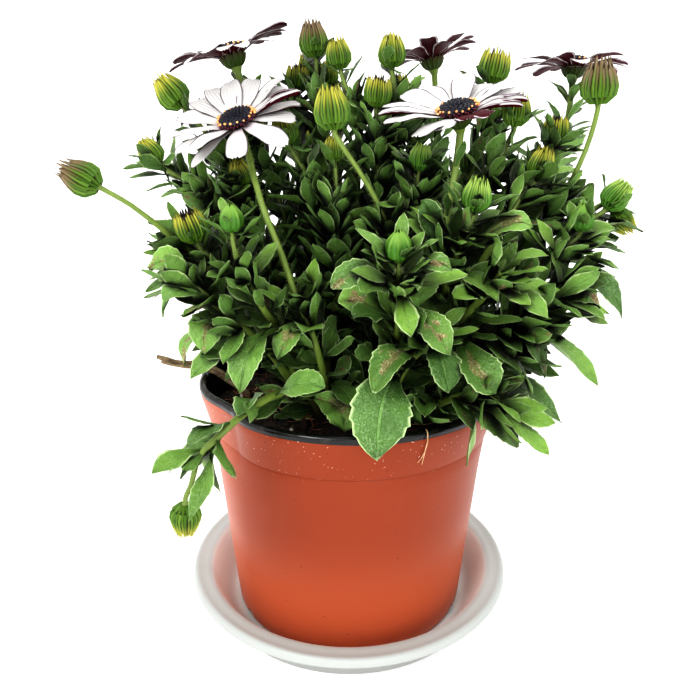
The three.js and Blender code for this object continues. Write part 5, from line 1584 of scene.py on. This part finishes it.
def makeRays(bloom):
    centre, axis = bloom["centre"], bloom["axis"]
    draw = draws(bloom["seed"])
    fine = draws(bloom["seed"] + 50)
    batch = newBatch()
    for petal in posed.get(bloom["name"]) or evenRays(bloom, draw):
        offset = vec(petal["tip"])
        out = unit(offset - axis * offset.dot(axis))
        root = centre + out * (disc["ringR"] - disc["inset"]) - axis * disc["sunk"]
        tip = centre + offset
        control = (root + tip) / 2 + axis * (0.5 * bloom["sag"] + bloom["arch"])
        blade = dict(root=root, control=control, tip=tip, face=axis * (-1 if "faceDown" in petal else 1),
                     width=bloom["width"] * 1.25 * petal.get("wide", 1))
        points = bentBlade(petalBlade, blade, fold=0.06, ripple=0.07, phase=6.3 * fine(),
                           curl=petal.get("curl", 0.15 + 0.3 * fine()) * (0.85 + 0.3 * fine()),
                           twist=0.4 * (fine() - 0.5))
        addCopy(batch, petalBlade, points)
    rays = batchObject(batch, [petalMaterial], 50)
    finished(rays, "rays_" + bloom["name"], "petals", "petals_" + bloom["name"])


# Dark florets stand close over a dome, dark red ones outside them, with drops of pollen low down.
def makeFlorets(bloom):
    centre, axis = bloom["centre"], bloom["axis"]
    u, v = squareTo(axis, vec(0.3, -1, 0.2))
    draw = draws(bloom["seed"] + 90)
    batch = newBatch()
    addCopy(batch, dome, centre + dome["points"] @ frameOf(axis), slot=0)

    def addBead(angle, tilt, beyond, size, tall, slot):
        out = leaning(u, v, angle)
        direction = leaning(axis, out, tilt)
        rise = disc["domeZ"] + (disc["domeHigh"] + beyond) * math.cos(tilt)
        place = centre + out * (disc["domeWide"] + beyond) * math.sin(tilt) + axis * rise
        stretch = np.diag([size, size, size * tall])
        addCopy(batch, bead, place + bead["points"] @ stretch @ frameOf(direction), slot=slot)

    for n in range(disc["florets"]):
        share = (n + 0.5) / disc["florets"]
        addBead(n * math.radians(disc["turnEach"]), 1.48 * math.sqrt(share), 0, 0.6 + 0.2 * draw(), 1.8,
                2 if share > 0.74 else 0)
    for n in range(disc["ring"]):
        angle = 2 * math.pi * (n + 0.5 * draw()) / disc["ring"]
        addBead(angle, 1.02 + 0.14 * draw(), 1.2, 0.44 + 0.18 * draw(), 1.1, 1)
    for side in (0, math.pi):
        for n in range(disc["clump"]):
            angle = side + math.radians(disc["clumpWide"]) * (draw() - 0.5) * 2 + math.atan2(v[0], u[0])
            addBead(angle, 1.0 + 0.36 * draw(), 1.0 + 0.7 * draw(), 0.44 + 0.2 * draw(), 1.1, 1)
    florets = batchObject(batch, discMaterials, 60)
    finished(florets, "florets_" + bloom["name"], "disc", "disc_" + bloom["name"])


for bloom in blooms:
    makeRays(bloom)
    makeFlorets(bloom)
print("blooms", flush=True)


studio = dict(grey=0.8, glow=0.25, daylight=0.98, aim=(0, 0, 0.14), cameraAt=(-0.0005, -0.3271, 0.2464),
              cameraDown=19.1, lens=720 / 696 * 36)
# One lamp stands at the left, one low at the front and one behind.
lamps = [dict(place=(-0.7, -0.95, 1.05), size=0.5, power=7.5),
         dict(place=(0.35, -1.2, 0.5), size=0.7, power=4.2), dict(place=(0.3, 0.7, 1.5), size=1.0, power=4)]


# A sheet that runs back from under the pot and rises in a wide curve behind it.
def makeBackdrop():
    bpy.ops.mesh.primitive_plane_add(size=4, location=(0, 0, -0.0006))
    sheet = bpy.context.object
    sheet.name = "backdrop"
    bpy.ops.object.transform_apply(location=True)
    pick(sheet, "edges", lambda a, b: a.y > 1 and b.y > 1)
    bpy.ops.mesh.extrude_edges_move(TRANSFORM_OT_translate={"value": (0, 0, 3)})
    editMode(False)
    pick(sheet, "edges", lambda a, b: a.y > 1 and b.y > 1 and a.z < 0.1 and b.z < 0.1)
    bpy.ops.mesh.bevel(offset=1.2, segments=16)
    editMode(False)
    smoothed(sheet)
    paint = Paint("backdrop", roughness=0.9)
    paint.shader.inputs["Emission Color"].default_value = (1, 1, 1, 1)
    paint.shader.inputs["Emission Strength"].default_value = studio["glow"]
    sheet.data.materials.append(paint.done((studio["grey"], studio["grey"], studio["grey"], 1)))


def makeStage():
    makeBackdrop()
    scene = bpy.context.scene
    scene.world = bpy.data.worlds.new("studio")
    scene.world.use_nodes = True
    background = scene.world.node_tree.nodes["Background"]
    background.inputs[0].default_value = (1, 1, 1, 1)
    background.inputs[1].default_value = studio["daylight"]
    for light in lamps:
        bpy.ops.object.light_add(type="AREA", location=light["place"])
        lamp = bpy.context.object
        lamp.data.size = light["size"]
        lamp.data.energy = light["power"]
        aim = Vector(studio["aim"]) - Vector(light["place"])
        lamp.rotation_euler = aim.to_track_quat("-Z", "Y").to_euler()
    bpy.ops.object.camera_add(location=studio["cameraAt"],
                              rotation=(math.radians(90 - studio["cameraDown"]), 0, 0))
    camera = bpy.context.object
    camera.data.sensor_width = 36
    camera.data.lens = studio["lens"]
    camera.data.clip_start = 0.01
    scene.camera = camera
    scene.view_settings.view_transform = "Standard"
    scene.view_settings.look = "High Contrast"


makeStage()
print("studio", flush=True)
